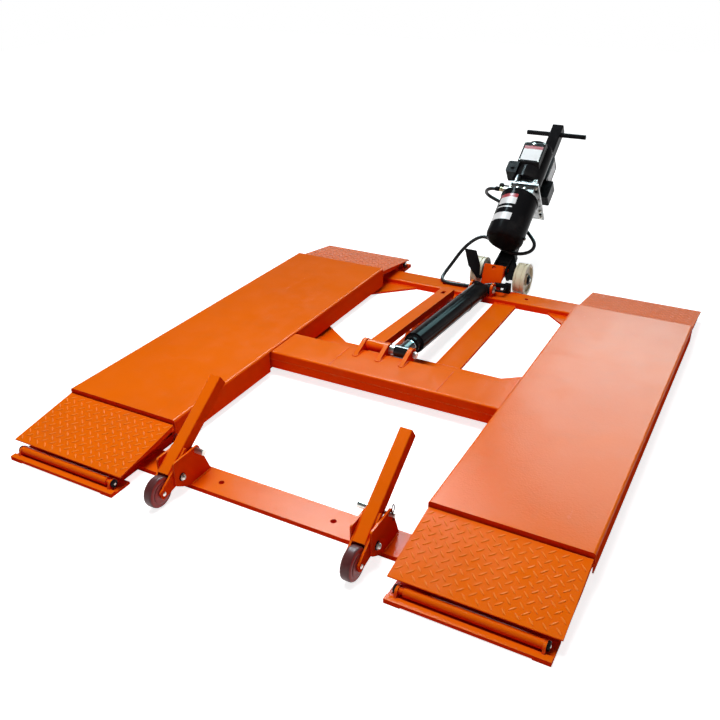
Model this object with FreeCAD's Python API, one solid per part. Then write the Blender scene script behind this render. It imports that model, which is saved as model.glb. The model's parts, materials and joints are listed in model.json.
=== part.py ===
import FreeCAD, Part
import math
import os
from FreeCAD import Vector

# Portable scissor car lift, lowered. Millimetres.
# +X runs across the lift, +Y from the caster end to the power unit, +Z up.
# The origin lies on the floor at the centre of the four anchor holes.

# Floor frame as a whole
overall_width = 1780.0
deck_gap = 876.0
deck_end_room = 68.0
deck_height = 110.0
scissor_centre_y = -21.0
cut_overrun = 5.0
fit_gap = 0.3
face_gap = 0.5
running_gap = 0.05
edge_pick_room = 1.0
edge_pick_share = 0.99
route_match_share = 0.01
hose_arc_share = 0.45

# Decks
deck_plate = 4.0
deck_bend_radius = 8.0
inner_flange_depth = 85.0
outer_flange_depth = 64.0
end_lip_depth = 18.0
notch_front_room = 16.0
notch_rear_room = 8.0
notch_roof_room = 1.5

# Ramps
ramp_plate = 5.0
front_ramp_reach = 252.0
rear_ramp_reach = 285.0
ramp_drop = 41.0
ramp_top_step = 16.0
ramp_deck_gap = 4.0
ramp_side_inset = 3.5
ramp_lip_depth = 12.0
ramp_lip_thick = 4.0
ramp_lip_length = 190.0
ramp_nose_radius = 2.0
hinge_pin_radius = 4.0
hinge_knuckle_radius = 8.0
hinge_knuckle_length = 34.0
hinge_lug_radius = 7.0
hinge_lug_thick = 8.0
hinge_out = 9.0
hinge_drop = 31.5
hinge_edge_inset = 42.0
hinge_lug_reach = 40.0
hinge_end_gap = 0.6
hinge_pin_overhang = 3.0

# Sills under the ramp ends
sill_inner_inset = 12.0
sill_outer_inset = 15.0
sill_plate = 5.0
sill_length = 79.0
front_sill_overhang = 38.0
rear_sill_overhang = 37.0
sill_cheek_thick = 7.0
sill_cheek_inset = 21.0
sill_cheek_foot = 46.0
sill_cheek_radius = 12.0
sill_spacer_radius = 9.0
sill_spacer_length = 14.0
sill_roller_radius = 13.0
sill_roller_height = 24.0
sill_roller_inset = -3.0
sill_bolt_radius = 6.0
sill_nut_height = 6.0
sill_nut_flat = 18.0
sill_bar_depth = 19.0
sill_bar_height = 11.0
sill_foot_length = 45.0
sill_foot_rise = 3.0

# Base rails
rail_inset = 42.0
rail_leg = 60.0
rail_plate = 6.0
rail_height = 30.0
rail_ear_radius = 24.0
rail_ear_foot = 90.0

# Cross pieces of the floor frame
front_plate_width = 102.0
front_plate_thick = 15.0
anchor_spacing_x = 388.0
anchor_spacing_y = 1664.0
anchor_hole_radius = 9.0
rear_member_width = 105.0
rear_member_height = 30.0
rear_member_wall = 6.0
mid_plate_width = 102.0
mid_plate_thick = 12.0
mid_plate_rear_y = 150.0
gusset_thick = 8.0
front_gusset_across = 164.0
front_gusset_along = 120.0
rear_gusset_across = 172.0
rear_gusset_along = 160.0
tie_bar_width = 98.0
tie_bar_thick = 10.0
tie_bar_x = 116.0

# Scissor arms
arm_length = 1300.0
arm_rise = 57.4
arm_half_depth = 20.0
arm_thick = 12.0
rail_arm_gap = 6.0
arm_gap = 6.0
arm_boss_height = 2.5
lower_pivot_height = 27.3
pivot_shaft_radius = 14.0
pivot_tube_radius = 20.0
centre_pin_radius = 13.0
pin_head_radius = 19.0
pin_head_height = 4.0
top_pin_radius = 12.0
arm_tube_radius = 19.0
arm_tube_wall = 4.0
arm_tube_share = 0.5
shaft_end_inset = 1.0
track_roller_radius = 21.0
track_roller_width = 18.0
track_shaft_radius = 12.0
roller_side_gap = 1.5
bracket_thick = 8.0
bracket_gap = 4.0
bracket_width = 64.0
bracket_radius = 18.0
guide_width = 6.0
guide_depth = 8.0
guide_start = 200.0
guide_length = 500.0
guide_gap = 1.5

# Beam between the two scissors
beam_front_y = -195.0
beam_width = 168.0
beam_depth = 68.0
beam_roof_gap = 3.0
beam_edge_radius = 7.0
beam_seam_depth = 1.5
beam_seam_height = 3.0
beam_seam_drop = 30.0
beam_wall = 6.0

# Clevis on the beam
clevis_pin_y = 0.0
clevis_pin_z = 112.0
clevis_pin_radius = 11.0
clevis_eye_radius = 24.0
ear_thick = 16.0
ear_positions = (-150.0, -58.0, 35.0)
ear_radius = 23.0
ear_foot = 62.0
ear_hang = 34.0
ear_toe = 4.0
pin_cap_radius = 15.0
pin_cap_height = 7.0
pin_tail = 14.0
pin_ring_radius = 11.0
pin_ring_wire = 1.8

# Cylinder
cylinder_rear_y = 800.0
cylinder_rear_z = 58.0
barrel_radius = 40.0
barrel_bore_radius = 34.0
barrel_start = 100.0
barrel_end = 762.0
barrel_end_wall = 18.0
barrel_front_wall = 8.0
barrel_step_radius = 41.5
barrel_step_start = 575.0
barrel_step_length = 10.0
gland_radius = 31.0
gland_start = 72.0
rod_radius = 22.0
piston_start = 690.0
piston_length = 40.0
piston_gap = 0.2
rod_eye_width = 52.0
spacer_radius = 17.0
spacer_length = 21.5
rod_neck_radius = 27.0
rod_neck_end = 58.0
rear_sleeve_radius = 20.0
rear_sleeve_half = 42.5
rear_pin_radius = 11.0
rear_lug_width = 56.0
rear_ear_gap = 43.0
rear_ear_thick = 10.0
rear_ear_radius = 27.0
rear_ear_corner = 20.0
rear_ear_front_foot = 18.0
rear_ear_rear_foot = 27.0
rear_pin_out = 8.0
rear_washer_radius = 17.0
port_block = 24.0
port_block_height = 12.0
port_block_start = 728.0

# Safety lock bar and its rack
lock_bar_x = -110.0
lock_sleeve_x = -104.0
lock_bar_width = 56.0
lock_bar_depth = 30.0
lock_bar_wall = 5.0
lock_bar_length = 682.0
lock_sleeve_radius = 21.0
lock_sleeve_half = 37.0
lock_slot_length = 34.0
lock_slot_width = 16.0
lock_slot_inset = 58.0
lock_pawl_depth = 9.0
lock_pawl_length = 22.0
lock_pawl_inset = 8.0
lock_rack_start = 300.0
lock_rack_thick = 10.0
lock_rack_width = 58.0
rack_tooth_pitch = 62.0
rack_tooth_count = 7
rack_tooth_height = 14.0
rack_tooth_length = 16.0
rack_tooth_ramp = 20.0
rack_first_tooth = 24.0

# Caster levers
caster_positions = (-300.0, 343.0)
caster_axle_y = -987.0
caster_wheel_radius = 47.0
caster_wheel_width = 32.0
caster_floor_gap = 2.0
caster_hub_radius = 17.0
caster_rim_width = 36.0
caster_axle_radius = 6.0
caster_pivot_y = -915.0
caster_pivot_z = 65.0
caster_pivot_radius = 8.0
lever_rise_degrees = 34.0
lever_top_y = -671.0
lever_top_z = 264.0
lever_width = 38.0
lever_depth = 42.0
lever_wall = 3.0
lever_edge_radius = 4.0
lever_foot_reach = 333.0
fork_thick = 6.0
fork_radius = 17.0
fork_strap_length = 96.0
fork_strap_inset = 7.0
fork_strap_low = 80.0
bracket_cheek_thick = 6.0
bracket_cheek_gap = 1.0
bracket_cheek_foot = 96.0
bracket_pivot_radius = 16.0
bracket_pin_radius = 12.0
bracket_cheek_front = 29.0
bracket_cheek_drop = 35.0
bracket_cheek_corner = 7.0
bracket_web_thick = 6.0
bracket_web_inset = 4.0
lock_pin_radius = 6.0
lock_pin_along = 107.0
lock_pin_out = 30.0
lock_pin_head = 9.0
lock_pin_tail = 14.0
bolt_head_height = 5.0
bolt_head_flat = 19.0
caster_nut_flat = 13.0

# Tow hitch behind the rear cross member
hitch_x = 12.0
hitch_width = 92.0
hitch_plate_thick = 10.0
hitch_foot_y = 868.0
hitch_foot_z = 40.0
hitch_top_y = 908.0
hitch_top_z = 132.0
hitch_hole_radius = 8.0
hitch_hole_drop = 13.0
hitch_corner_radius = 8.0
hitch_foot_depth = 30.0
hitch_pin_y = 932.0
hitch_pin_z = 104.0
hitch_pin_radius = 8.0
hitch_lug_radius = 16.0
hitch_lug_thick = 8.0

# Trolley with the power unit, measured square to its own post
trolley_x = 34.0
trolley_axle_y = 950.0
trolley_lean_degrees = 54.4
trolley_wheel_radius = 70.0
trolley_wheel_width = 50.0
trolley_wheel_spacing = 200.0
trolley_floor_gap = 0.3
trolley_axle_radius = 10.0
trolley_nut_height = 7.0
trolley_groove_depth = 3.0
trolley_groove_width = 7.0
trolley_hub_radius = 27.0
trolley_hub_recess = 9.0
trolley_rim_wall = 12.0
post_width = 54.0
post_wall = 3.0
post_bottom = 22.0
post_edge_radius = 5.0
cheek_thick = 8.0
cheek_top = 120.0
cheek_axle_radius = 26.0
cheek_hinge_radius = 16.0
handle_height = 838.0
handle_room = 40.0
handle_radius = 11.0
handle_half = 145.0
foot_plate_thick = 6.0
foot_plate_top = 112.0
foot_plate_reach = 73.5
foot_plate_waist = 22.0
foot_plate_toe = -34.0
foot_plate_inset = 5.0
pedal_front_y = 872.0
pedal_thick = 6.0
pedal_corners = ((-118.0, 198.0), (-64.0, 197.0), (-43.5, 135.0), (-43.5, 70.0), (-54.0, 70.0),
                 (-98.0, 123.0))
pedal_corner_radius = 4.0
pedal_arm_thick = 5.5
pedal_arm_x = -40.5
pedal_arm_top = 85.0
pedal_arm_rise_y = 905.0
pedal_arm_ring = 16.0
tank_front = 137.0
tank_radius = 84.0
tank_bottom = 86.0
tank_top = 322.0
tank_edge_radius = 26.0
tank_rim_radius = 86.5
tank_rim_height = 8.0
tank_plug_radius = 6.0
tank_plug_length = 9.0
tank_plug_height = 118.0
block_left = -54.0
block_right = 61.0
block_depth = 90.0
block_bottom = 330.0
block_top = 410.0
block_bore_radius = 9.0
mount_plate_thick = 9.0
mount_plate_bottom = 366.0
mount_plate_rear = -50.0
mount_plate_front = 198.0
mount_plate_left = -48.0
mount_plate_right = 79.0
mount_hole_radius = 5.0
mount_hole_count = 4
motor_radius = 68.0
motor_bottom = 410.0
motor_top = 620.0
motor_bell_radius = 63.0
motor_bell_height = 24.0
motor_edge_radius = 8.0
start_box_half = 50.0
start_box_back = 130.0
start_box_front = 214.0
start_box_bottom = 478.0
start_box_top = 595.0
start_box_taper = 34.0
start_box_radius = 7.0
switch_box_left = -88.0
switch_box_width = 50.0
switch_box_back = 150.0
switch_box_front = 215.0
switch_box_bottom = 411.0
switch_box_top = 474.0
switch_box_radius = 10.0
side_box_right = 77.0
side_box_back = -45.0
side_box_front = 15.0
side_box_bottom = 446.0
side_box_top = 545.0
side_box_radius = 6.0
side_panel_thick = 18.0
side_panel_back = 50.0
side_panel_top = 676.0
button_radius = 9.0
button_length = 9.0
button_travel = 4.0
button_height = 440.0
valve_height = 395.0
valve_front = 131.0
valve_radius = 8.0
valve_length = 14.0
lever_rod_radius = 3.5
lever_rod_length = 42.0
lever_ball_radius = 12.0
coil_radius = 12.0
coil_height = 34.0
coil_front = 190.0
coil_x = -28.0

# Hose and its fittings
hose_radius = 8.0
fitting_radius = 11.0
fitting_nut_flat = 24.0
fitting_start = 54.0
fitting_length = 34.0
fitting_height = 366.0
fitting_front = 140.0
elbow_x = 94.0
elbow_y = 864.0
elbow_z = 58.0
elbow_length = 30.0
elbow_block = 26.0
pipe_radius = 5.0

# Route of the hose from the pump fitting to the floor elbow, chosen by hand
hose_route = (
    (-54.0, 1166.1, 397.2),
    (-84.0, 1166.1, 397.2),
    (-126.0, 1170.4, 392.9),
    (-152.0, 1190.3, 370.2),
    (-146.0, 1217.3, 342.8),
    (-108.0, 1228.5, 323.8),
    (-51.0, 1209.1, 306.2),
    (9.0, 1170.1, 278.3),
    (64.0, 1124.8, 247.1),
    (114.0, 1087.0, 222.5),
    (146.0, 1055.5, 201.2),
    (144.0, 1024.6, 179.1),
    (108.0, 1005.7, 164.3),
    (56.0, 1003.6, 160.3),
    (-1.0, 1017.2, 168.8),
    (-52.0, 1041.9, 192.7),
    (-100.0, 1049.8, 205.7),
    (-144.0, 1022.9, 181.5),
    (-178.0, 987.6, 141.5),
    (-203.0, 947.0, 92.0),
    (-218.0, 912.0, 62.0),
    (-224.0, 880.0, 44.0),
    (-214.0, 852.0, 38.6),
    (-188.0, 836.0, 38.6),
    (-148.0, 832.0, 38.6),
    (-100.0, 836.0, 39.0),
    (-48.0, 843.0, 42.0),
    (-2.0, 853.0, 51.0),
    (34.0, 864.0, 58.0),
    (66.0, 864.0, 58.0),
)

# Derived places
half_width = overall_width / 2
deck_inner_x = deck_gap / 2
deck_length = arm_length + 2 * deck_end_room
deck_front_y = scissor_centre_y - deck_length / 2
deck_rear_y = scissor_centre_y + deck_length / 2
deck_underside = deck_height - deck_plate
ramp_top_z = deck_height - ramp_top_step
sill_inner_x = deck_inner_x + sill_inner_inset
sill_outer_x = half_width - sill_outer_inset
rail_inner_x = deck_inner_x + rail_inset
rail_outer_x = half_width - rail_inset
front_sill_y = deck_front_y - front_ramp_reach - front_sill_overhang
rear_sill_y = deck_rear_y + rear_ramp_reach + rear_sill_overhang
front_plate_y = -anchor_spacing_y / 2
rear_member_y = anchor_spacing_y / 2
rear_member_front = rear_member_y - rear_member_width / 2
rear_member_rear = rear_member_y + rear_member_width / 2
arm_tilt = math.asin(arm_rise / arm_length)
arm_half_run = arm_length * math.cos(arm_tilt) / 2
pivot_y = scissor_centre_y - arm_half_run
roller_y = scissor_centre_y + arm_half_run
upper_pivot_height = lower_pivot_height + arm_rise
centre_height = lower_pivot_height + arm_rise / 2
arm_a_inner = rail_inner_x + rail_plate + rail_arm_gap
arm_b_inner = arm_a_inner + arm_thick + arm_gap
arm_a_outer = rail_outer_x - rail_plate - rail_arm_gap
arm_b_outer = arm_a_outer - arm_thick - arm_gap
beam_rear_y = beam_front_y + beam_width
beam_top = deck_underside - beam_roof_gap
beam_bottom = beam_top - beam_depth
cylinder_drop = clevis_pin_z - cylinder_rear_z
cylinder_run = cylinder_rear_y - clevis_pin_y
cylinder_slope = math.degrees(math.atan2(cylinder_drop, cylinder_run))
caster_axle_z = caster_wheel_radius + caster_floor_gap
trolley_axle_z = trolley_wheel_radius + trolley_floor_gap
trolley_lean = math.radians(trolley_lean_degrees)
post_top = handle_height + handle_room

X_AXIS = Vector(1, 0, 0)
Y_AXIS = Vector(0, 1, 0)
Z_AXIS = Vector(0, 0, 1)
ORIGIN = Vector(0, 0, 0)


# Shape helpers
def block(x0, x1, y0, y1, z0, z1):
    return Part.makeBox(x1 - x0, y1 - y0, z1 - z0, Vector(x0, y0, z0))


def round_x(radius, x0, x1, y, z):
    return Part.makeCylinder(radius, x1 - x0, Vector(x0, y, z), X_AXIS)


def round_y(radius, y0, y1, x, z):
    return Part.makeCylinder(radius, y1 - y0, Vector(x, y0, z), Y_AXIS)


def round_z(radius, z0, z1, x, y):
    return Part.makeCylinder(radius, z1 - z0, Vector(x, y, z0), Z_AXIS)


def hex_x(flat, x0, x1, y, z):
    corner = flat / math.sqrt(3)
    angles = [math.radians(60 * side) for side in range(7)]
    points = [Vector(x0, y + corner * math.cos(a), z + corner * math.sin(a)) for a in angles]
    return Part.Face(Part.makePolygon(points)).extrude(Vector(x1 - x0, 0, 0))


def lift_point(axis, u, v, start):
    if axis == "x":
        return Vector(start, u, v)
    if axis == "y":
        return Vector(u, start, v)
    return Vector(u, v, start)


def outline(corners, axis, start):
    """Closed wire through corners (u, v, radius), each rounded by its radius."""
    flat = [Vector(u, v, 0) for u, v, _ in corners]
    arcs = []
    for index, (_, _, radius) in enumerate(corners):
        here = flat[index]
        back = (flat[index - 1] - here).normalize()
        ahead = (flat[(index + 1) % len(flat)] - here).normalize()
        if radius == 0:
            arcs.append((here, None, here))
            continue
        half = back.getAngle(ahead) / 2
        trim = radius / math.tan(half)
        middle = (back + ahead).normalize()
        depth = radius / math.sin(half) - radius
        arcs.append((here + back * trim, here + middle * depth, here + ahead * trim))
    edges = []
    for index, (enter, middle, leave) in enumerate(arcs):
        if middle is not None:
            spots = [lift_point(axis, p.x, p.y, start) for p in (enter, middle, leave)]
            edges.append(Part.Arc(*spots).toShape())
        following = arcs[(index + 1) % len(arcs)][0]
        if leave.distanceToPoint(following) > route_match_share * running_gap:
            ends = [lift_point(axis, p.x, p.y, start) for p in (leave, following)]
            edges.append(Part.makeLine(*ends))
    return Part.Wire(edges)


def slab(corners, axis, start, thick):
    """Plate with the given outline, square to an axis, from start on."""
    way = {"x": X_AXIS, "y": Y_AXIS, "z": Z_AXIS}[axis]
    return Part.Face(outline(corners, axis, start)).extrude(way * thick)


def sharp(points):
    return [(u, v, 0) for u, v in points]


def join(shapes):
    whole = shapes[0].fuse(shapes[1:])
    return whole.removeSplitter()


def mirrored(shape):
    return shape.mirror(ORIGIN, X_AXIS)


def both_sides(shapes):
    return shapes + [mirrored(shape) for shape in shapes]


def turned(shape, y, z, degrees):
    copy = shape.copy()
    copy.rotate(Vector(0, y, z), X_AXIS, degrees)
    return copy


def moved(shape, x, y, z):
    copy = shape.copy()
    copy.translate(Vector(x, y, z))
    return copy


def save(name, shapes):
    whole = shapes[0] if len(shapes) == 1 else Part.makeCompound(shapes)
    whole.exportStep("parts/" + name + ".step")


# Floor frame
def side_rails():
    """Two angle rails of the right side, each with an ear for the front pivot."""
    start = front_sill_y + sill_length
    end = rear_sill_y - sill_length
    rails = []
    for wall_x, way in ((rail_inner_x, 1), (rail_outer_x, -1)):
        x0, x1 = sorted((wall_x, wall_x + way * rail_plate))
        ear = slab(
            [
                (pivot_y - rail_ear_foot / 2, rail_height / 2, 0),
                (pivot_y + rail_ear_foot / 2, rail_height / 2, 0),
                (pivot_y + rail_ear_foot / 2, rail_height, 0),
                (pivot_y + rail_ear_radius, lower_pivot_height + rail_ear_radius, rail_ear_radius / 2),
                (pivot_y - rail_ear_radius, lower_pivot_height + rail_ear_radius, rail_ear_radius / 2),
                (pivot_y - rail_ear_foot / 2, rail_height, 0),
            ],
            "x", x0, rail_plate,
        )
        t0, t1 = sorted((wall_x, wall_x + way * rail_leg))
        rail = join([block(x0, x1, start, end, 0, rail_height), block(t0, t1, start, end, 0, rail_plate),
                     ear])
        bore = round_x(
            pivot_shaft_radius + running_gap, x0 - cut_overrun, x1 + cut_overrun, pivot_y,
            lower_pivot_height
        )
        rails.append(rail.cut(bore))
    return rails


def sill_cheek_places():
    """Inner face of each roller cheek along x, for the right side of the frame."""
    return sill_inner_x + sill_cheek_inset, sill_outer_x - sill_cheek_inset - sill_cheek_thick


def sill(end_y, way, roller_y_here):
    """Floor plate on two feet, with a bar along its edge and two cheeks that carry the roller."""
    y0, y1 = sorted((end_y, end_y + way * sill_length))
    pieces = [block(sill_inner_x, sill_outer_x, y0, y1, sill_foot_rise, sill_foot_rise + sill_plate)]
    b0, b1 = sorted((end_y, end_y + way * sill_bar_depth))
    pieces.append(block(sill_inner_x, sill_outer_x, b0, b1, sill_foot_rise,
                        sill_foot_rise + sill_bar_height))
    for x0 in (sill_inner_x, sill_outer_x - sill_foot_length):
        pieces.append(block(x0, x0 + sill_foot_length, y0, y1, 0, sill_foot_rise + sill_plate / 2))
    foot = sill_cheek_foot / 2
    floor = sill_foot_rise + sill_plate - running_gap
    top = sill_roller_height + sill_cheek_radius
    for x0 in sill_cheek_places():
        pieces.append(
            slab(
                [
                    (roller_y_here - foot, floor, 0), (roller_y_here + foot, floor, 0),
                    (roller_y_here + sill_cheek_radius, top, sill_cheek_radius),
                    (roller_y_here - sill_cheek_radius, top, sill_cheek_radius),
                ],
                "x", x0, sill_cheek_thick,
            )
        )
    bore = round_x(
        sill_bolt_radius, sill_inner_x - cut_overrun, sill_outer_x + cut_overrun, roller_y_here,
        sill_roller_height
    )
    return join(pieces).cut(bore)


def sill_roller(roller_y_here):
    """Roller tube between the cheeks, necked at its inner end."""
    inner, outer = sill_cheek_places()
    x0, x1 = inner + sill_cheek_thick + fit_gap, outer - fit_gap
    tube = join([
        round_x(sill_spacer_radius, x0, x0 + sill_spacer_length, roller_y_here, sill_roller_height),
        round_x(sill_roller_radius, x0 + sill_spacer_length, x1, roller_y_here, sill_roller_height),
    ])
    return tube.cut(round_x(sill_bolt_radius + running_gap, x0, x1, roller_y_here, sill_roller_height))


def sill_bolt(roller_y_here):
    inner, outer = sill_cheek_places()
    x0, x1 = inner - sill_nut_height, outer + sill_cheek_thick + sill_nut_height
    shank = round_x(sill_bolt_radius, x0, x1, roller_y_here, sill_roller_height)
    heads = [
        hex_x(sill_nut_flat, x0, inner, roller_y_here, sill_roller_height),
        hex_x(sill_nut_flat, outer + sill_cheek_thick, x1, roller_y_here, sill_roller_height),
    ]
    return join([shank] + heads)


def anchor_holes(shape, y, height):
    for x in (-anchor_spacing_x / 2, anchor_spacing_x / 2):
        shape = shape.cut(round_z(anchor_hole_radius, -cut_overrun, height + cut_overrun, x, y))
    return shape


def front_cross_plate():
    plate = block(
        -rail_inner_x, rail_inner_x, front_plate_y - front_plate_width / 2,
        front_plate_y + front_plate_width / 2,
        0, front_plate_thick,
    )
    return anchor_holes(plate, front_plate_y, front_plate_thick)


def mid_cross_plate():
    return block(
        -rail_inner_x, rail_inner_x, mid_plate_rear_y - mid_plate_width, mid_plate_rear_y, 0,
        mid_plate_thick
    )


def rear_cross_member():
    """Channel lying open side down, with foot bushes under its anchor holes."""
    shell = slab(
        [
            (rear_member_front, 0, 0),
            (rear_member_front, rear_member_height, rear_member_wall),
            (rear_member_rear, rear_member_height, rear_member_wall),
            (rear_member_rear, 0, 0),
        ],
        "x", -rail_inner_x, 2 * rail_inner_x,
    )
    hollow = block(
        -rail_inner_x - cut_overrun, rail_inner_x + cut_overrun, rear_member_front + rear_member_wall,
        rear_member_rear - rear_member_wall, -cut_overrun, rear_member_height - rear_member_wall,
    )
    bushes = [
        round_z(2 * anchor_hole_radius, 0, rear_member_height - rear_member_wall / 2, x, rear_member_y)
        for x in (-anchor_spacing_x / 2, anchor_spacing_x / 2)
    ]
    return anchor_holes(join([shell.cut(hollow)] + bushes), rear_member_y, rear_member_height)


def gussets():
    """Four triangular plates in the corners of the rear half of the frame."""
    front = slab(
        sharp([
            (rail_inner_x, mid_plate_rear_y),
            (rail_inner_x, mid_plate_rear_y + front_gusset_along),
            (rail_inner_x - front_gusset_across, mid_plate_rear_y),
        ]),
        "z", 0, gusset_thick,
    )
    rear = slab(
        sharp([
            (rail_inner_x, rear_member_front),
            (rail_inner_x - rear_gusset_across, rear_member_front),
            (rail_inner_x, rear_member_front - rear_gusset_along),
        ]),
        "z", 0, gusset_thick,
    )
    return both_sides([front, rear])


def tie_bar():
    return block(
        tie_bar_x - tie_bar_width / 2, tie_bar_x + tie_bar_width / 2, mid_plate_rear_y, rear_member_front,
        0, tie_bar_thick,
    )


def lock_rack():
    """Flat bar with sloped teeth that the safety lock bar drops behind."""
    x0 = lock_bar_x - lock_rack_width / 2
    pieces = [block(x0, x0 + lock_rack_width, mid_plate_rear_y, rear_member_front, 0, lock_rack_thick)]
    for number in range(rack_tooth_count):
        heel = lock_rack_start + rack_first_tooth + number * rack_tooth_pitch
        profile = sharp([
            (heel - rack_tooth_ramp, lock_rack_thick - running_gap),
            (heel, lock_rack_thick + rack_tooth_height),
            (heel + rack_tooth_length, lock_rack_thick + rack_tooth_height),
            (heel + rack_tooth_length, lock_rack_thick - running_gap),
        ])
        pieces.append(slab(profile, "x", x0, lock_rack_width))
    return join(pieces)


def cylinder_rear_ears():
    """Two plates on the rear member that hold the ends of the cylinder's rear pin."""
    ears = []
    for x0 in (rear_ear_start(1), rear_ear_start(-1)):
        ear = slab(
            [
                (cylinder_rear_y - rear_ear_front_foot, rear_member_height, 0),
                (cylinder_rear_y + rear_ear_rear_foot, rear_member_height, 0),
                (cylinder_rear_y + rear_ear_radius, cylinder_rear_z + rear_ear_radius, rear_ear_corner),
                (cylinder_rear_y - rear_ear_radius, cylinder_rear_z + rear_ear_radius, rear_ear_corner),
            ],
            "x", x0, rear_ear_thick,
        )
        bore = round_x(
            rear_pin_radius, x0 - cut_overrun, x0 + rear_ear_thick + cut_overrun, cylinder_rear_y,
            cylinder_rear_z
        )
        ears.append(ear.cut(bore))
    return ears


def rear_ear_start(side):
    return rear_ear_gap if side > 0 else -rear_ear_gap - rear_ear_thick


def rear_pin_ends():
    """The pin's ends in the two ears, each with its washer and head outside."""
    inner = rear_ear_gap
    outer = rear_ear_gap + rear_ear_thick
    end = join([
        round_x(rear_pin_radius, inner, outer + rear_pin_out, cylinder_rear_y, cylinder_rear_z),
        round_x(rear_washer_radius, outer, outer + rear_pin_out / 2, cylinder_rear_y, cylinder_rear_z),
    ])
    return both_sides([end])


# Caster brackets, levers and wheels
def lever_point(along, out):
    """Point on the lever: along its axis from the pivot's foot, out on its floor side."""
    rise = math.radians(lever_rise_degrees)
    y = lever_top_y + along * math.cos(rise) + out * math.sin(rise)
    z = lever_top_z + along * math.sin(rise) - out * math.cos(rise)
    return y, z


def lock_pin_place():
    foot = lever_foot_reach - lock_pin_along
    return lever_point(-foot, lever_depth / 2 + lock_pin_radius + fit_gap)


def caster_bracket(x):
    """Two cheeks on the front plate, with a web behind the lever."""
    pin_y, pin_z = lock_pin_place()
    inner = lever_width / 2 + fork_thick + bracket_cheek_gap
    foot_y = front_plate_y - front_plate_width / 2
    corners = [
        (foot_y, front_plate_thick, 0),
        (foot_y + bracket_cheek_foot, front_plate_thick, 0),
        (pin_y + bracket_pin_radius, pin_z + bracket_pin_radius, bracket_cheek_corner),
        (caster_pivot_y - bracket_cheek_front, pin_z + bracket_pin_radius, bracket_cheek_corner),
        (caster_pivot_y - bracket_cheek_front, caster_pivot_z - bracket_pivot_radius, bracket_cheek_corner),
        (caster_pivot_y, caster_pivot_z - bracket_cheek_drop, bracket_cheek_corner),
    ]
    cheeks = []
    for x0 in (x + inner, x - inner - bracket_cheek_thick):
        cheek = slab(corners, "x", x0, bracket_cheek_thick)
        for radius, y, z in ((caster_pivot_radius, caster_pivot_y, caster_pivot_z),
                             (lock_pin_radius, pin_y, pin_z)):
            cheek = cheek.cut(round_x(radius, x0 - cut_overrun, x0 + bracket_cheek_thick + cut_overrun, y,
                                      z))
        cheeks.append(cheek)
    web_y = foot_y + bracket_cheek_foot - bracket_web_inset - bracket_web_thick
    web = block(
        x - inner, x + inner, web_y, web_y + bracket_web_thick, front_plate_thick,
        front_plate_thick + bracket_pivot_radius,
    )
    return join(cheeks + [web])


def caster_lever(x):
    """Rectangular tube with two fork straps that hold the wheel and the pivot."""
    half = lever_width / 2
    tube = Part.makeBox(lever_width, lever_foot_reach, lever_depth,
                        Vector(x - half, -lever_foot_reach, -lever_depth / 2))
    tube = tube.makeFillet(lever_edge_radius, [e for e in tube.Edges if is_along_y(e)])
    inside = block(
        x - half + lever_wall, x + half - lever_wall, -lever_foot_reach - cut_overrun, -lever_wall,
        -lever_depth / 2 + lever_wall, lever_depth / 2 - lever_wall,
    )
    tube = moved(turned(tube.cut(inside), 0, 0, lever_rise_degrees), 0, lever_top_y, lever_top_z)
    side = lever_depth / 2 - fork_strap_inset
    strap_top = lever_point(-lever_foot_reach + fork_strap_length, -side)
    strap_low = lever_point(-lever_foot_reach + fork_strap_low, side)
    corners = [
        (*strap_top, lever_edge_radius),
        (*lever_point(-lever_foot_reach, -side), lever_edge_radius),
        (caster_axle_y - fork_radius, caster_axle_z + fork_radius / 2, fork_radius / 2),
        (caster_axle_y - fork_radius / 2, caster_axle_z - fork_radius, fork_radius / 2),
        (caster_pivot_y, caster_pivot_z - fork_radius, fork_radius / 2),
        (caster_pivot_y + fork_radius, caster_pivot_z - fork_radius / 2, fork_radius / 2),
        (*strap_low, lever_edge_radius),
    ]
    straps = [slab(corners, "x", x0, fork_thick) for x0 in (x + half, x - half - fork_thick)]
    lever = join([tube] + straps)
    reach = half + fork_thick + cut_overrun
    bore = round_x(caster_pivot_radius + running_gap, x - reach, x + reach, caster_pivot_y, caster_pivot_z)
    wheel_room = round_x(
        caster_wheel_radius + face_gap + lever_wall, x - half, x + half, caster_axle_y, caster_axle_z
    )
    lever = lever.cut(bore).cut(wheel_room)
    return lever.fuse(caster_axle(x))


def is_along_y(edge):
    ends = [v.Point for v in edge.Vertexes]
    return len(ends) == 2 and abs((ends[1] - ends[0]).normalize().y) > edge_pick_share


def caster_axle(x):
    half = lever_width / 2 + fork_thick
    return join([
        round_x(caster_axle_radius, x - half, x + half, caster_axle_y, caster_axle_z),
        hex_x(caster_nut_flat, x + half, x + half + bracket_cheek_gap / 2, caster_axle_y, caster_axle_z),
    ])


def caster_wheel(x):
    half = caster_wheel_width / 2
    tyre = round_x(caster_wheel_radius, x - half, x + half, caster_axle_y, caster_axle_z)
    rims = [edge for edge in tyre.Edges if edge.Length > 2 * math.pi * caster_wheel_radius * edge_pick_share
            and len(edge.Vertexes) == 1]
    tyre = tyre.makeFillet(half / 2, rims)
    hub = round_x(caster_hub_radius, x - caster_rim_width / 2, x + caster_rim_width / 2, caster_axle_y,
                  caster_axle_z)
    bore = round_x(
        caster_axle_radius + running_gap, x - half - cut_overrun, x + half + cut_overrun, caster_axle_y,
        caster_axle_z
    )
    return join([tyre, hub]).cut(bore)


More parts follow.
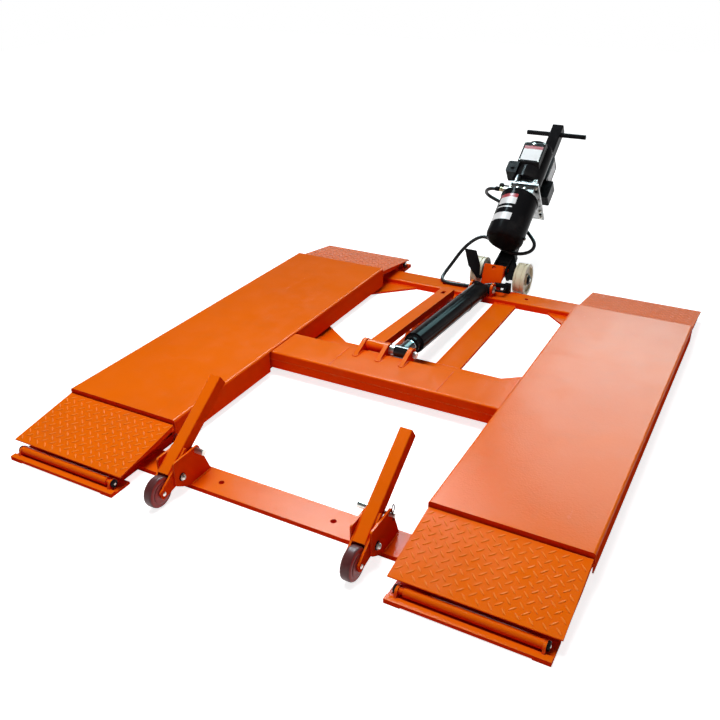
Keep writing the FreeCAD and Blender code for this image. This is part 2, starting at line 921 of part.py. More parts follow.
def caster_hardware(x, side):
    """Pivot bolt, lock pin and its spring clip of one caster bracket."""
    outer = lever_width / 2 + fork_thick + bracket_cheek_gap + bracket_cheek_thick
    pin_y, pin_z = lock_pin_place()
    pivot = join([
        round_x(caster_pivot_radius, x - outer - bolt_head_height, x + outer + bolt_head_height,
                caster_pivot_y,
                caster_pivot_z),
        hex_x(bolt_head_flat, x + outer, x + outer + bolt_head_height, caster_pivot_y, caster_pivot_z),
        hex_x(bolt_head_flat, x - outer - bolt_head_height, x - outer, caster_pivot_y, caster_pivot_z),
    ])
    head_x = sorted((x - side * outer, x - side * (outer + lock_pin_out)))
    tail_x = sorted((x - side * outer, x + side * (outer + lock_pin_tail)))
    pin = join([
        round_x(lock_pin_radius, *tail_x, pin_y, pin_z),
        round_x(lock_pin_head, *head_x, pin_y, pin_z),
    ])
    return [pivot, pin]


# Scissor arms, with pivots, cross tubes and rollers
def arm_bar(x0, ways):
    """One bar lying level about the scissor centre, with bosses on its open faces."""
    reach = arm_length / 2 + arm_half_depth
    radius = arm_half_depth
    bar = slab(
        [(-reach, -radius, radius), (reach, -radius, radius), (reach, radius, radius),
         (-reach, radius, radius)],
        "x", x0, arm_thick,
    )
    face = x0 + arm_thick if ways > 0 else x0 - arm_boss_height
    return join([bar, round_x(arm_half_depth - face_gap, face, face + arm_boss_height, 0, 0)])


def placed_arm(shape, tilt_degrees):
    return moved(turned(shape, 0, 0, tilt_degrees), 0, scissor_centre_y, centre_height)


def arms_a():
    """Right pair of the arms that pivot on the floor frame at the front."""
    bars = []
    for x0, ways in ((arm_a_inner, 1), (arm_a_outer - arm_thick, -1)):
        bar = arm_bar(x0, ways)
        pin_end = arm_thick + arm_gap + arm_thick + face_gap
        p0, p1 = (x0, x0 + pin_end) if ways > 0 else (x0 + arm_thick - pin_end, x0 + arm_thick)
        h0, h1 = (p1, p1 + pin_head_height) if ways > 0 else (p0 - pin_head_height, p0)
        bar = join([bar, round_x(centre_pin_radius, p0, p1, 0, 0), round_x(pin_head_radius, h0, h1, 0, 0)])
        bore_front = round_x(
            pivot_shaft_radius, x0 - cut_overrun, x0 + arm_thick + cut_overrun, -arm_length / 2, 0
        )
        bore_rear = round_x(
            track_shaft_radius + running_gap, x0 - cut_overrun, x0 + arm_thick + cut_overrun,
            arm_length / 2, 0
        )
        bars.append(placed_arm(bar.cut(bore_front).cut(bore_rear), math.degrees(arm_tilt)))
    return bars


def arms_b():
    """Right pair of the arms that hang from the deck at the front and roll at the rear."""
    bars = []
    reach = arm_length / 2
    for x0, ways in ((arm_b_inner, -1), (arm_b_outer - arm_thick, 1)):
        bar = arm_bar(x0, ways)
        span = (x0 - cut_overrun, x0 + arm_thick + cut_overrun)
        bar = bar.cut(round_x(centre_pin_radius + running_gap, *span, 0, 0))
        bar = bar.cut(round_x(top_pin_radius + running_gap, *span, -reach, 0))
        bar = bar.cut(round_x(track_shaft_radius + running_gap, *span, reach, 0))
        bars.append(placed_arm(bar, -math.degrees(arm_tilt)))
    for y in (-reach * arm_tube_share, reach * arm_tube_share):
        x0 = arm_b_inner + arm_thick
        x1 = arm_b_outer - arm_thick
        tube = round_x(arm_tube_radius, x0, x1, y, 0)
        bore = round_x(arm_tube_radius - arm_tube_wall, x0, x1, y, 0)
        bars.append(placed_arm(tube.cut(bore), -math.degrees(arm_tilt)))
    return bars


def front_pivot_shaft():
    """Shaft through the rail ears, with the tube that ties the two outer arms."""
    x0 = rail_inner_x + shaft_end_inset
    x1 = rail_outer_x - shaft_end_inset
    return join([
        round_x(pivot_shaft_radius, x0, x1, pivot_y, lower_pivot_height),
        round_x(pivot_tube_radius, arm_a_inner + arm_thick, arm_a_outer - arm_thick, pivot_y,
                lower_pivot_height),
    ])


def roller_set(bar_inner, bar_outer, height):
    """Shaft with two rollers that run between the bars of one pair of arms."""
    x0 = bar_inner - shaft_end_inset
    x1 = bar_outer + shaft_end_inset
    first = bar_inner + arm_thick + roller_side_gap
    last = bar_outer - arm_thick - roller_side_gap
    return join([
        round_x(track_shaft_radius, x0, x1, roller_y, height),
        round_x(track_roller_radius, first, first + track_roller_width, roller_y, height),
        round_x(track_roller_radius, last - track_roller_width, last, roller_y, height),
    ])


# Beam and clevis
def centre_beam():
    """Box beam with rounded long edges and the seam between its two channels."""
    body = slab(
        [
            (beam_front_y, beam_bottom, beam_edge_radius / 2),
            (beam_rear_y, beam_bottom, beam_edge_radius / 2),
            (beam_rear_y, beam_top, beam_edge_radius),
            (beam_front_y, beam_top, beam_edge_radius),
        ],
        "x", -arm_a_inner, 2 * arm_a_inner,
    )
    seam_z = beam_top - beam_seam_drop
    seam = block(
        -arm_a_inner - cut_overrun, arm_a_inner + cut_overrun, beam_front_y - cut_overrun,
        beam_front_y + beam_seam_depth, seam_z - beam_seam_height, seam_z,
    )
    hollow = block(
        -arm_a_inner - cut_overrun, arm_a_inner + cut_overrun, beam_front_y + beam_wall,
        beam_rear_y - beam_wall,
        beam_bottom + beam_wall, beam_top - beam_wall,
    )
    return body.cut(seam).cut(hollow)


def clevis_ears():
    """Three hooked plates on the beam's rear edge that hold the clevis pin."""
    ears = []
    for x in ear_positions:
        ear = slab(
            [
                (beam_rear_y - ear_foot, beam_top, 0),
                (beam_rear_y, beam_top, 0),
                (beam_rear_y, beam_top - ear_hang, 0),
                (beam_rear_y + ear_toe, beam_top - ear_hang, 0),
                (clevis_pin_y + ear_radius, clevis_pin_z - ear_radius / 2, ear_radius / 2),
                (clevis_pin_y + ear_radius, clevis_pin_z + ear_radius, ear_radius),
                (clevis_pin_y - ear_radius / 2, clevis_pin_z + ear_radius, ear_radius / 2),
            ],
            "x", x - ear_thick / 2, ear_thick,
        )
        corner = round_x(beam_edge_radius, x - ear_thick, x + ear_thick, beam_rear_y - beam_edge_radius,
                         beam_top - beam_edge_radius)
        ear = ear.cut(corner)
        bore = round_x(clevis_pin_radius, x - ear_thick, x + ear_thick, clevis_pin_y, clevis_pin_z)
        ears.append(ear.cut(bore))
    return ears


def clevis_pin():
    x0 = ear_positions[0] - ear_thick / 2
    x1 = ear_positions[2] + ear_thick / 2
    spacer_start = ear_positions[1] + ear_thick / 2
    ring = Part.makeTorus(pin_ring_radius, pin_ring_wire,
                          Vector(x1 + pin_tail / 2, clevis_pin_y, clevis_pin_z), X_AXIS)
    return join([
        round_x(clevis_pin_radius, x0, x1 + pin_tail, clevis_pin_y, clevis_pin_z),
        round_x(pin_cap_radius, x0 - pin_cap_height, x0, clevis_pin_y, clevis_pin_z),
        round_x(spacer_radius, spacer_start, spacer_start + spacer_length, clevis_pin_y, clevis_pin_z),
        ring,
    ])


# Cylinder, drawn level behind the clevis pin and then sloped to its rear pin
def sloped(shape):
    return turned(shape, clevis_pin_y, clevis_pin_z, -cylinder_slope)


def piston_rod():
    half = rod_eye_width / 2
    y, z = clevis_pin_y, clevis_pin_z
    rod = join([
        round_x(clevis_eye_radius, -half, half, y, z),
        round_y(rod_neck_radius, y, y + rod_neck_end, 0, z),
        round_y(rod_radius, y, y + piston_start, 0, z),
        round_y(barrel_bore_radius - piston_gap, y + piston_start, y + piston_start + piston_length, 0, z),
    ])
    shoulder = half + cut_overrun
    for x0 in (-shoulder - barrel_radius, shoulder):
        rod = rod.cut(block(x0, x0 + barrel_radius, y - barrel_radius, y + gland_start, z - barrel_radius,
                            z + barrel_radius))
    rod = rod.cut(round_x(clevis_pin_radius + running_gap, -half - cut_overrun, half + cut_overrun, y, z))
    return sloped(rod)


def cylinder_barrel():
    """Barrel with gland, weld collar, oil port, rear lug and cross sleeve."""
    y, z = clevis_pin_y, clevis_pin_z
    rear = math.hypot(cylinder_run, cylinder_drop)
    solid = join([
        round_y(gland_radius, y + gland_start, y + barrel_start, 0, z),
        round_y(barrel_radius, y + barrel_start, y + barrel_end, 0, z),
        round_y(barrel_step_radius, y + barrel_step_start, y + barrel_step_start + barrel_step_length, 0,
                z),
        slab(
            [
                (y + barrel_end - barrel_end_wall, z - rear_sleeve_radius, 0),
                (y + rear, z - rear_sleeve_radius, 0),
                (y + rear, z + rear_sleeve_radius, 0),
                (y + barrel_end - barrel_end_wall, z + rear_sleeve_radius, 0),
            ],
            "x", -rear_lug_width / 2, rear_lug_width,
        ),
        round_x(rear_sleeve_radius, -rear_sleeve_half, rear_sleeve_half, y + rear, z),
        round_z(port_block / 2, z + barrel_bore_radius + face_gap, z + barrel_radius + port_block_height, 0,
                y + port_block_start),
    ])
    solid = solid.cut(round_y(rod_radius + running_gap, y,
                              y + barrel_start + barrel_front_wall + cut_overrun, 0, z))
    solid = solid.cut(
        round_y(barrel_bore_radius, y + barrel_start + barrel_front_wall, y + barrel_end - barrel_end_wall,
                0, z)
    )
    return sloped(solid)


# Safety lock bar
def lock_bar():
    """Rectangular tube on a sleeve, with a slot and a pawl near its free end."""
    y, z = clevis_pin_y, clevis_pin_z
    half = lock_bar_width / 2
    x = lock_bar_x
    tube = block(x - half, x + half, y, y + lock_bar_length, z - lock_bar_depth / 2, z + lock_bar_depth / 2)
    inside = block(
        x - half + lock_bar_wall, x + half - lock_bar_wall, y + lock_sleeve_radius + lock_bar_wall,
        y + lock_bar_length - lock_bar_wall, z - lock_bar_depth / 2 + lock_bar_wall,
        z + lock_bar_depth / 2 - lock_bar_wall,
    )
    pawl_end = y + lock_bar_length - lock_pawl_inset
    pawl = slab(
        sharp([
            (pawl_end - lock_pawl_length, z - lock_bar_depth / 2 + running_gap),
            (pawl_end - lock_pawl_length / 2, z - lock_bar_depth / 2 - lock_pawl_depth),
            (pawl_end, z - lock_bar_depth / 2 - lock_pawl_depth),
            (pawl_end, z - lock_bar_depth / 2 + running_gap),
        ]),
        "x", x - half, lock_bar_width,
    )
    s0, s1 = lock_sleeve_x - lock_sleeve_half, lock_sleeve_x + lock_sleeve_half
    sleeve = round_x(lock_sleeve_radius, s0, s1, y, z)
    bar = join([tube.cut(inside), pawl, sleeve])
    slot_y = y + lock_bar_length - lock_slot_inset
    slot = block(
        x - lock_slot_width / 2, x + lock_slot_width / 2, slot_y - lock_slot_length / 2,
        slot_y + lock_slot_length / 2,
        z, z + lock_bar_depth,
    )
    bore = round_x(clevis_pin_radius + running_gap, s0 - cut_overrun, s1 + cut_overrun, y, z)
    return sloped(bar.cut(slot).cut(bore))


# Decks and ramps
def deck():
    """Folded plate of the right deck, open below, notched where the beam passes."""
    x0, x1 = deck_inner_x, half_width
    top = deck_height
    radius = deck_bend_radius
    outer = slab(
        [
            (x0, top - inner_flange_depth, 0), (x0, top, radius), (x1, top, radius),
            (x1, top - outer_flange_depth, 0), (x1, top - inner_flange_depth, 0),
        ],
        "y", deck_front_y, deck_length,
    )
    low = top - inner_flange_depth - cut_overrun
    inner = slab(
        [
            (x0 + deck_plate, low, 0), (x0 + deck_plate, top - deck_plate, radius - deck_plate),
            (x1 - deck_plate, top - deck_plate, radius - deck_plate), (x1 - deck_plate, low, 0),
        ],
        "y", deck_front_y + deck_plate, deck_length - 2 * deck_plate,
    )
    shell = outer.cut(inner)
    shallow = block(
        half_width - deck_plate - cut_overrun, half_width + cut_overrun, deck_front_y - cut_overrun,
        deck_rear_y + cut_overrun, low, top - outer_flange_depth,
    )
    notch = block(
        x0 - cut_overrun, x0 + deck_plate + radius, beam_front_y - notch_front_room,
        beam_rear_y + notch_rear_room,
        low, beam_top + notch_roof_room,
    )
    shell = shell.cut(shallow).cut(notch)
    for y in (deck_front_y, deck_rear_y - deck_plate):
        mouth = block(
            x0 + deck_plate, x1 - deck_plate, y - cut_overrun, y + deck_plate + cut_overrun, low,
            top - end_lip_depth
        )
        shell = shell.cut(mouth)
    return shell


def deck_bracket(x0, pin_from, pin_to):
    """Plate under the deck with the pin that one arm hangs on."""
    half = bracket_width / 2
    plate = slab(
        [
            (pivot_y - half, deck_underside, 0),
            (pivot_y - bracket_radius, upper_pivot_height - bracket_radius, bracket_radius),
            (pivot_y + bracket_radius, upper_pivot_height - bracket_radius, bracket_radius),
            (pivot_y + half, deck_underside, 0),
        ],
        "x", x0, bracket_thick,
    )
    return join([plate, round_x(top_pin_radius, pin_from, pin_to, pivot_y, upper_pivot_height)])


def deck_fittings():
    """Hanging brackets and roller guides under the right deck."""
    inner_x = arm_b_inner + arm_thick + bracket_gap
    outer_x = arm_b_outer - arm_thick - bracket_gap - bracket_thick
    pieces = [
        deck_bracket(inner_x, arm_b_inner - shaft_end_inset, inner_x),
        deck_bracket(outer_x, outer_x + bracket_thick, arm_b_outer + shaft_end_inset),
    ]
    start = scissor_centre_y + guide_start
    roller_end = arm_a_inner + arm_thick + roller_side_gap + track_roller_width + guide_gap
    outer_end = arm_a_outer - arm_thick - roller_side_gap - track_roller_width - guide_gap
    for x in (roller_end, outer_end - guide_width):
        pieces.append(block(x, x + guide_width, start, start + guide_length, deck_underside - guide_depth,
                            deck_underside))
    return pieces


def hinge_slots():
    """Where the lugs of a ramp hinge stand across the right deck."""
    first = deck_inner_x + hinge_edge_inset
    last = half_width - hinge_edge_inset
    return (first, (first + last) / 2, last)


def hinge_lugs(way):
    """Lugs under one end of the right deck and the pins of its ramp hinge."""
    y_end = deck_front_y if way < 0 else deck_rear_y
    pin_y = y_end + way * hinge_out
    pin_z = deck_height - hinge_drop
    inside = y_end - way * (deck_plate + hinge_lug_reach)
    pieces = []
    for x in hinge_slots():
        corners = [
            (inside, deck_underside, 0),
            (inside + way * hinge_lug_reach, deck_underside, 0),
            (inside + way * hinge_lug_reach, pin_z + hinge_lug_radius, 0),
            (pin_y + way * hinge_lug_radius, pin_z + hinge_lug_radius, hinge_lug_radius),
            (pin_y + way * hinge_lug_radius, pin_z - hinge_lug_radius, hinge_lug_radius),
            (inside, pin_z - hinge_lug_radius, 0),
        ]
        lug = slab(corners, "x", x - hinge_lug_thick / 2, hinge_lug_thick)
        reach = hinge_lug_thick / 2 + hinge_end_gap + hinge_knuckle_length + hinge_pin_overhang
        pieces.append(join([lug, round_x(hinge_pin_radius, x - reach, x + reach, pin_y, pin_z)]))
    return pieces


def ramp(reach):
    """Ramp of the right deck's front end, drawn outward from y = 0."""
    slope = math.atan2(ramp_drop, reach - ramp_deck_gap)
    length = math.hypot(ramp_drop, reach - ramp_deck_gap)
    x0 = deck_inner_x + ramp_side_inset
    x1 = half_width - ramp_side_inset
    plate = slab(
        [(0, 0, 0), (-length, 0, ramp_nose_radius), (-length, -ramp_plate, ramp_nose_radius),
         (0, -ramp_plate, 0)],
        "x", x0, x1 - x0,
    )
    lip_profile = sharp([
        (0, -ramp_plate / 2), (-ramp_lip_length, -ramp_plate / 2), (-ramp_lip_length, -ramp_plate),
        (-ramp_lip_length / 2, -ramp_plate - ramp_lip_depth), (0, -ramp_plate - ramp_lip_depth),
    ])
    lips = [slab(lip_profile, "x", x, ramp_lip_thick) for x in (x0, x1 - ramp_lip_thick)]
    body = turned(join([plate] + lips), 0, 0, math.degrees(slope))
    body = moved(body, 0, -ramp_deck_gap, ramp_top_z)
    pin_y, pin_z = -hinge_out, deck_height - hinge_drop
    pieces = [body]
    bores = []
    under = ramp_top_z - ramp_plate
    for x in hinge_slots():
        for side in (-1, 1):
            a = x + side * (hinge_lug_thick / 2 + hinge_end_gap)
            k0, k1 = sorted((a, a + side * hinge_knuckle_length))
            pieces.append(round_x(hinge_knuckle_radius, k0, k1, pin_y, pin_z))
            pieces.append(block(k0, k1, pin_y - hinge_knuckle_radius, pin_y, pin_z, under))
            bores.append(round_x(hinge_pin_radius + running_gap, k0 - cut_overrun,
                                 k1 + hinge_end_gap + cut_overrun,
                                 pin_y, pin_z))
    whole = join(pieces)
    room = [
        block(x - hinge_lug_thick / 2 - hinge_end_gap, x + hinge_lug_thick / 2 + hinge_end_gap,
              pin_y - deck_bend_radius,
              cut_overrun, pin_z - hinge_knuckle_radius - cut_overrun,
              pin_z + hinge_lug_radius + hinge_end_gap)
        for x in hinge_slots()
    ]
    for tool in bores + room:
        whole = whole.cut(tool)
    return whole


def front_ramp():
    return moved(ramp(front_ramp_reach), 0, deck_front_y, 0)


def rear_ramp():
    return moved(ramp(rear_ramp_reach).mirror(ORIGIN, Y_AXIS), 0, deck_rear_y, 0)


# Hitch
def tow_hitch():
    """Leaning coupling plate on a foot, with two lugs behind it for the trolley."""
    lean = math.atan2(hitch_top_y - hitch_foot_y, hitch_top_z - hitch_foot_z)
    height = math.hypot(hitch_top_y - hitch_foot_y, hitch_top_z - hitch_foot_z)
    x0, x1 = hitch_x - hitch_width / 2, hitch_x + hitch_width / 2
    plate = slab(
        [(x0, 0, 0), (x1, 0, 0), (x1, height, hitch_corner_radius), (x0, height, hitch_corner_radius)],
        "y", 0, hitch_plate_thick,
    )
    hole = round_y(hitch_hole_radius, -cut_overrun, hitch_plate_thick + cut_overrun, hitch_x,
                   height - hitch_hole_drop)
    plate = moved(turned(plate.cut(hole), 0, 0, -math.degrees(lean)), 0, hitch_foot_y, hitch_foot_z)
    foot = slab(
        sharp([
            (rear_member_rear - hitch_foot_depth, rear_member_height),
            (rear_member_rear, rear_member_height),
            (hitch_foot_y + hitch_plate_thick / math.cos(lean), hitch_foot_z + hitch_plate_thick / 2),
            (hitch_foot_y, hitch_foot_z),
        ]),
        "x", x0, hitch_width,
    )
    middle = hitch_plate_thick / 2 / math.cos(lean)
    root_low = hitch_pin_z - 2 * hitch_lug_radius
    root_high = hitch_pin_z + hitch_lug_radius

    def root(z):
        return hitch_foot_y + (z - hitch_foot_z) * math.tan(lean) + middle

    lugs = []
    for side in (-1, 1):
        edge = trolley_x + side * (post_width / 2 - face_gap)
        l0, l1 = sorted((edge, edge - side * hitch_lug_thick))
        lugs.append(
            slab(
                [
                    (root(root_low), root_low, 0),
                    (hitch_pin_y, hitch_pin_z - hitch_lug_radius, 0),
                    (hitch_pin_y + hitch_lug_radius, hitch_pin_z - hitch_lug_radius, hitch_lug_radius),
                    (hitch_pin_y + hitch_lug_radius, hitch_pin_z + hitch_lug_radius, hitch_lug_radius),
                    (root(root_high), root_high, 0),
                ],
                "x", l0, l1 - l0,
            )
        )
    whole = join([plate, foot] + lugs)
    reach = post_width / 2 + cheek_thick
    pin = round_x(hitch_pin_radius, trolley_x - reach, trolley_x + reach, hitch_pin_y, hitch_pin_z)
    return join([whole, pin])


# Trolley, drawn upright about its wheel axle and then leaned back
def leaned(shape):
    copy = shape.copy()
    copy.rotate(ORIGIN, X_AXIS, -trolley_lean_degrees)
    copy.translate(Vector(trolley_x, trolley_axle_y, trolley_axle_z))
    return copy


def upright_place(y, z):
    """A floor-frame place as (front, height) beside the upright post."""
    dy, dz = y - trolley_axle_y, z - trolley_axle_z
    front = dz * math.sin(trolley_lean) - dy * math.cos(trolley_lean)
    height = dy * math.sin(trolley_lean) + dz * math.cos(trolley_lean)
    return front, height


def trolley_frame():
    """Post, axle cheeks and the angled foot plate, welded together."""
    half = post_width / 2
    post = slab(
        [(-half, -half, post_edge_radius), (half, -half, post_edge_radius),
         (half, half, post_edge_radius), (-half, half, post_edge_radius)],
        "z", post_bottom, post_top - post_bottom,
    )
    inner = half - post_wall
    hollow = block(-inner, inner, -inner, inner, post_bottom - cut_overrun, post_top - post_wall)
    front, height = upright_place(hitch_pin_y, hitch_pin_z)
    corners = [
        (-front - cheek_hinge_radius, height - cheek_hinge_radius, cheek_hinge_radius),
        (cheek_axle_radius, -cheek_axle_radius, cheek_axle_radius),
        (half, cheek_top, post_edge_radius),
        (-half, cheek_top, post_edge_radius),
        (-front - cheek_hinge_radius, height + cheek_hinge_radius, cheek_hinge_radius),
    ]
    cheeks = [slab(corners, "x", x0, cheek_thick) for x0 in (half, -half - cheek_thick)]
    wing = half + cheek_thick
    foot = slab(
        sharp([
            (-half, foot_plate_top), (half, foot_plate_top), (foot_plate_reach, foot_plate_waist),
            (foot_plate_reach - foot_plate_inset, foot_plate_toe), (wing, foot_plate_toe),
            (wing, post_bottom + foot_plate_waist), (-half, post_bottom + foot_plate_waist),
        ]),
        "y", -half - foot_plate_thick, foot_plate_thick,
    )
    web = block(half, foot_plate_reach - foot_plate_inset, -half - foot_plate_thick, 0, foot_plate_toe / 2,
                0)
    frame = join([post.cut(hollow)] + cheeks + [foot, web])
    reach = foot_plate_reach + cut_overrun
    frame = frame.cut(round_x(hitch_pin_radius + running_gap, -reach, reach, -front, height))
    frame = frame.cut(round_x(trolley_axle_radius, -reach, reach, 0, 0))
    frame = frame.cut(round_x(handle_radius, -reach, reach, 0, handle_height))
    return leaned(frame)


def trolley_handle():
    return leaned(round_x(handle_radius, -handle_half, handle_half, 0, handle_height))


def trolley_axle():
    end = trolley_wheel_spacing / 2 + trolley_wheel_width / 2 + running_gap
    nuts = [
        hex_x(2 * trolley_axle_radius + trolley_nut_height, x, x + trolley_nut_height, 0, 0)
        for x in (end, -end - trolley_nut_height)
    ]
    return leaned(join([round_x(trolley_axle_radius, -end, end, 0, 0)] + nuts))


def trolley_wheel(side):
    """Nylon wheel with two tread grooves and a dished hub."""
    x = side * trolley_wheel_spacing / 2
    half = trolley_wheel_width / 2
    wheel = round_x(trolley_wheel_radius, x - half, x + half, 0, 0)
    for groove_x in (x - half / 2, x + half / 2):
        ring = round_x(trolley_wheel_radius + cut_overrun, groove_x - trolley_groove_width / 2,
                       groove_x + trolley_groove_width / 2, 0, 0)
        core = round_x(trolley_wheel_radius - trolley_groove_depth, groove_x - trolley_groove_width,
                       groove_x + trolley_groove_width, 0, 0)
        wheel = wheel.cut(ring.cut(core))
    for face in (x - half, x + half - trolley_hub_recess):
        dish = round_x(trolley_wheel_radius - trolley_rim_wall, face, face + trolley_hub_recess, 0, 0)
        hub = round_x(trolley_hub_radius, face, face + trolley_hub_recess, 0, 0)
        wheel = wheel.cut(dish.cut(hub))
    bore = round_x(trolley_axle_radius + running_gap, x - half - cut_overrun, x + half + cut_overrun, 0, 0)
    return leaned(wheel.cut(bore))


def foot_pedal():
    """Pressed plate in front of the left wheel, on an arm from the axle."""
    plate = slab([(x, z, pedal_corner_radius) for x, z in pedal_corners], "y", pedal_front_y, pedal_thick)
    low = pedal_corners[3][1]
    ring_low, ring_high = trolley_axle_z - pedal_arm_ring, trolley_axle_z + pedal_arm_ring
    arm_x = pedal_arm_x
    arm = slab(
        [
            (pedal_front_y, low, 0), (trolley_axle_y, ring_low, 0),
            (trolley_axle_y + pedal_arm_ring, ring_low, pedal_arm_ring),
            (trolley_axle_y + pedal_arm_ring, ring_high, pedal_arm_ring),
            (trolley_axle_y, ring_high, 0), (pedal_arm_rise_y, pedal_arm_top, 0),
            (pedal_front_y, pedal_arm_top, 0),
        ],
        "x", arm_x, pedal_arm_thick,
    )
    bore = round_x(trolley_axle_radius, arm_x - cut_overrun, arm_x + pedal_arm_thick + cut_overrun,
                   trolley_axle_y,
                   trolley_axle_z)
    bridge = block(pedal_corners[4][0] + pedal_corner_radius, arm_x + pedal_arm_thick, pedal_front_y,
                   pedal_front_y + pedal_thick, low, pedal_arm_top)
    return join([plate, arm.cut(bore), bridge])


def oil_tank():
    """Round reservoir with a rounded bottom, a rim and a drain plug."""
    tank = round_z(tank_radius, tank_bottom, tank_top, 0, -tank_front)
    low = [
        edge for edge in tank.Edges
        if len(edge.Vertexes) == 1 and edge.BoundBox.ZMax < tank_bottom + edge_pick_room
    ]
    tank = tank.makeFillet(tank_edge_radius, low)
    rim = round_z(tank_rim_radius, tank_top - tank_rim_height, tank_top, 0, -tank_front)
    plug = round_x(tank_plug_radius, 0, tank_radius + tank_plug_length, -tank_front, tank_plug_height)
    return leaned(join([tank, rim, plug]))


def pump_block():
    """Valve block on a neck over the tank, and the plate that holds it to the post."""
    back, front = tank_front - block_depth / 2, tank_front + block_depth / 2
    body = block(block_left, block_right, -front, -back, block_bottom, block_top)
    neck = round_z(tank_radius - tank_edge_radius, tank_top, block_bottom, 0, -tank_front)
    plate_top = mount_plate_bottom + mount_plate_thick
    plate = block(
        mount_plate_left, mount_plate_right, -mount_plate_front, -mount_plate_rear, mount_plate_bottom,
        plate_top
    )
    half = post_width / 2
    plate = plate.cut(block(-half, half, -half, half, mount_plate_bottom, plate_top))
    pitch = (mount_plate_front - mount_plate_rear) / (mount_hole_count + 1)
    x = mount_plate_right - 2 * mount_hole_radius
    for number in range(mount_hole_count):
        y = -mount_plate_rear - pitch * (number + 1)
        plate = plate.cut(round_z(mount_hole_radius, mount_plate_bottom - cut_overrun,
                                  plate_top + cut_overrun, x, y))
    port_height = (plate_top + block_top) / 2
    body = body.cut(round_y(block_bore_radius, -front - cut_overrun, -front + block_bore_radius,
                            block_right / 2,
                            port_height))
    valve = round_x(valve_radius, block_left - valve_length, block_left, -valve_front, valve_height)
    coil = round_z(coil_radius, plate_top - running_gap, plate_top + coil_height, coil_x, -coil_front)
    return leaned(join([body, neck, plate, valve, coil]))


def motor():
    body = round_z(motor_radius, motor_bottom, motor_top - motor_bell_height, 0, -tank_front)
    bell = round_z(motor_bell_radius, motor_top - motor_bell_height, motor_top, 0, -tank_front)
    top = [
        edge for edge in bell.Edges
        if len(edge.Vertexes) == 1 and edge.BoundBox.ZMin > motor_top - edge_pick_room
    ]
    return leaned(join([body, bell.makeFillet(motor_edge_radius, top)]))


def electric_boxes():
    """Start box on the motor, switch box beside it and relay box behind the post."""
    half = start_box_half
    start = slab(
        [
            (-start_box_front, start_box_bottom, start_box_radius),
            (-start_box_front, start_box_top, start_box_radius),
            (-start_box_back, start_box_top, 0), (-start_box_back, start_box_bottom - start_box_taper, 0),
        ],
        "x", -half, 2 * half,
    ).cut(round_z(motor_radius + running_gap, start_box_bottom - 2 * start_box_taper, start_box_top, 0,
                  -tank_front))
    left = switch_box_left
    right = left + switch_box_width
    switch = slab(
        [
            (left, switch_box_bottom, switch_box_radius), (right, switch_box_bottom, 0),
            (right, switch_box_top, 0), (left, switch_box_top, switch_box_radius),
        ],
        "y", -switch_box_front, switch_box_front - switch_box_back,
    )
    button_x = (left + right) / 2
    well = round_y(button_radius + running_gap, -switch_box_front,
                   -switch_box_front + button_length + button_travel, button_x,
                   button_height)
    switch = switch.cut(round_z(motor_radius + running_gap, motor_bottom, motor_top, 0, -tank_front))
    relay = slab(
        [
            (post_width / 2, side_box_bottom, 0), (side_box_right, side_box_bottom, side_box_radius),
            (side_box_right, side_box_top, side_box_radius), (post_width / 2, side_box_top, 0),
        ],
        "y", -side_box_front, side_box_front - side_box_back,
    )
    half_post = post_width / 2
    panel = block(
        half_post, half_post + side_panel_thick, -half_post, side_panel_back,
        side_box_top - side_box_radius,
        side_panel_top,
    )
    return [leaned(start), leaned(switch.cut(well)), leaned(join([relay, panel]))]


def push_button():
    x = switch_box_left + switch_box_width / 2
    proud = button_length - button_travel / 2
    return leaned(round_y(button_radius, -switch_box_front - proud, -switch_box_front + button_travel, x,
                          button_height))


def release_lever():
    """Thin rod with a ball knob on the lowering valve."""
    x = block_left - valve_length - fit_gap
    rod = round_x(lever_rod_radius, x - lever_rod_length, x, -valve_front, valve_height)
    centre = Vector(x - lever_rod_length, -valve_front, valve_height)
    ball = Part.makeSphere(lever_ball_radius, centre)
    ball.rotate(centre, Z_AXIS, math.degrees(math.pi / 2))
    return leaned(join([rod, ball]))


# Hose
def hose_arcs(points):
    """Corner radii of the hose, as large as the two runs beside each corner allow."""
    radii = []
    for before, here, after in zip(points, points[1:], points[2:]):
        back, ahead = before - here, after - here
        turn = math.pi - back.getAngle(ahead)
        radii.append(hose_arc_share * min(back.Length, ahead.Length) / math.tan(turn / 2))
    return radii


def hose():
    """Tube of straight runs and tangent arcs along the hand-made route."""
    points = [Vector(*place) for place in hose_route]
    radii = hose_arcs(points)
    edges, length, last = [], 0, points[0]
    for index, radius in enumerate(radii):
        here = points[index + 1]
        back = (points[index] - here).normalize()
        ahead = (points[index + 2] - here).normalize()
        half = back.getAngle(ahead) / 2
        trim = radius / math.tan(half)
        middle = here + (back + ahead).normalize() * (radius / math.sin(half) - radius)
        edges.append(Part.makeLine(last, here + back * trim))
        edges.append(Part.Arc(here + back * trim, middle, here + ahead * trim).toShape())
        last = here + ahead * trim
    edges.append(Part.makeLine(last, points[-1]))
    path = Part.Wire(edges)
    circle = Part.Wire([Part.makeCircle(hose_radius, points[0], points[1] - points[0])])
    tube = path.makePipeShell([circle], True, False)
    length = path.Length
    expected = math.pi * hose_radius ** 2 * length
    print("hose length %.1f, volume share %.5f" % (length, tube.Volume / expected))
    print("hose radii " + " ".join("%.0f" % radius for radius in radii))
    return tube


def hose_fittings():
    """Pump fitting, and the floor elbow with its short pipe to the cylinder's pivot."""
    start = fitting_start
    nut = hex_x(fitting_nut_flat, -start - fitting_length / 2, -start, -fitting_front, fitting_height)
    ferrule = round_x(fitting_radius, -start - fitting_length, -start - fitting_length / 2, -fitting_front,
                      fitting_height)
    pump_end = leaned(join([nut, ferrule]))
    return pump_end


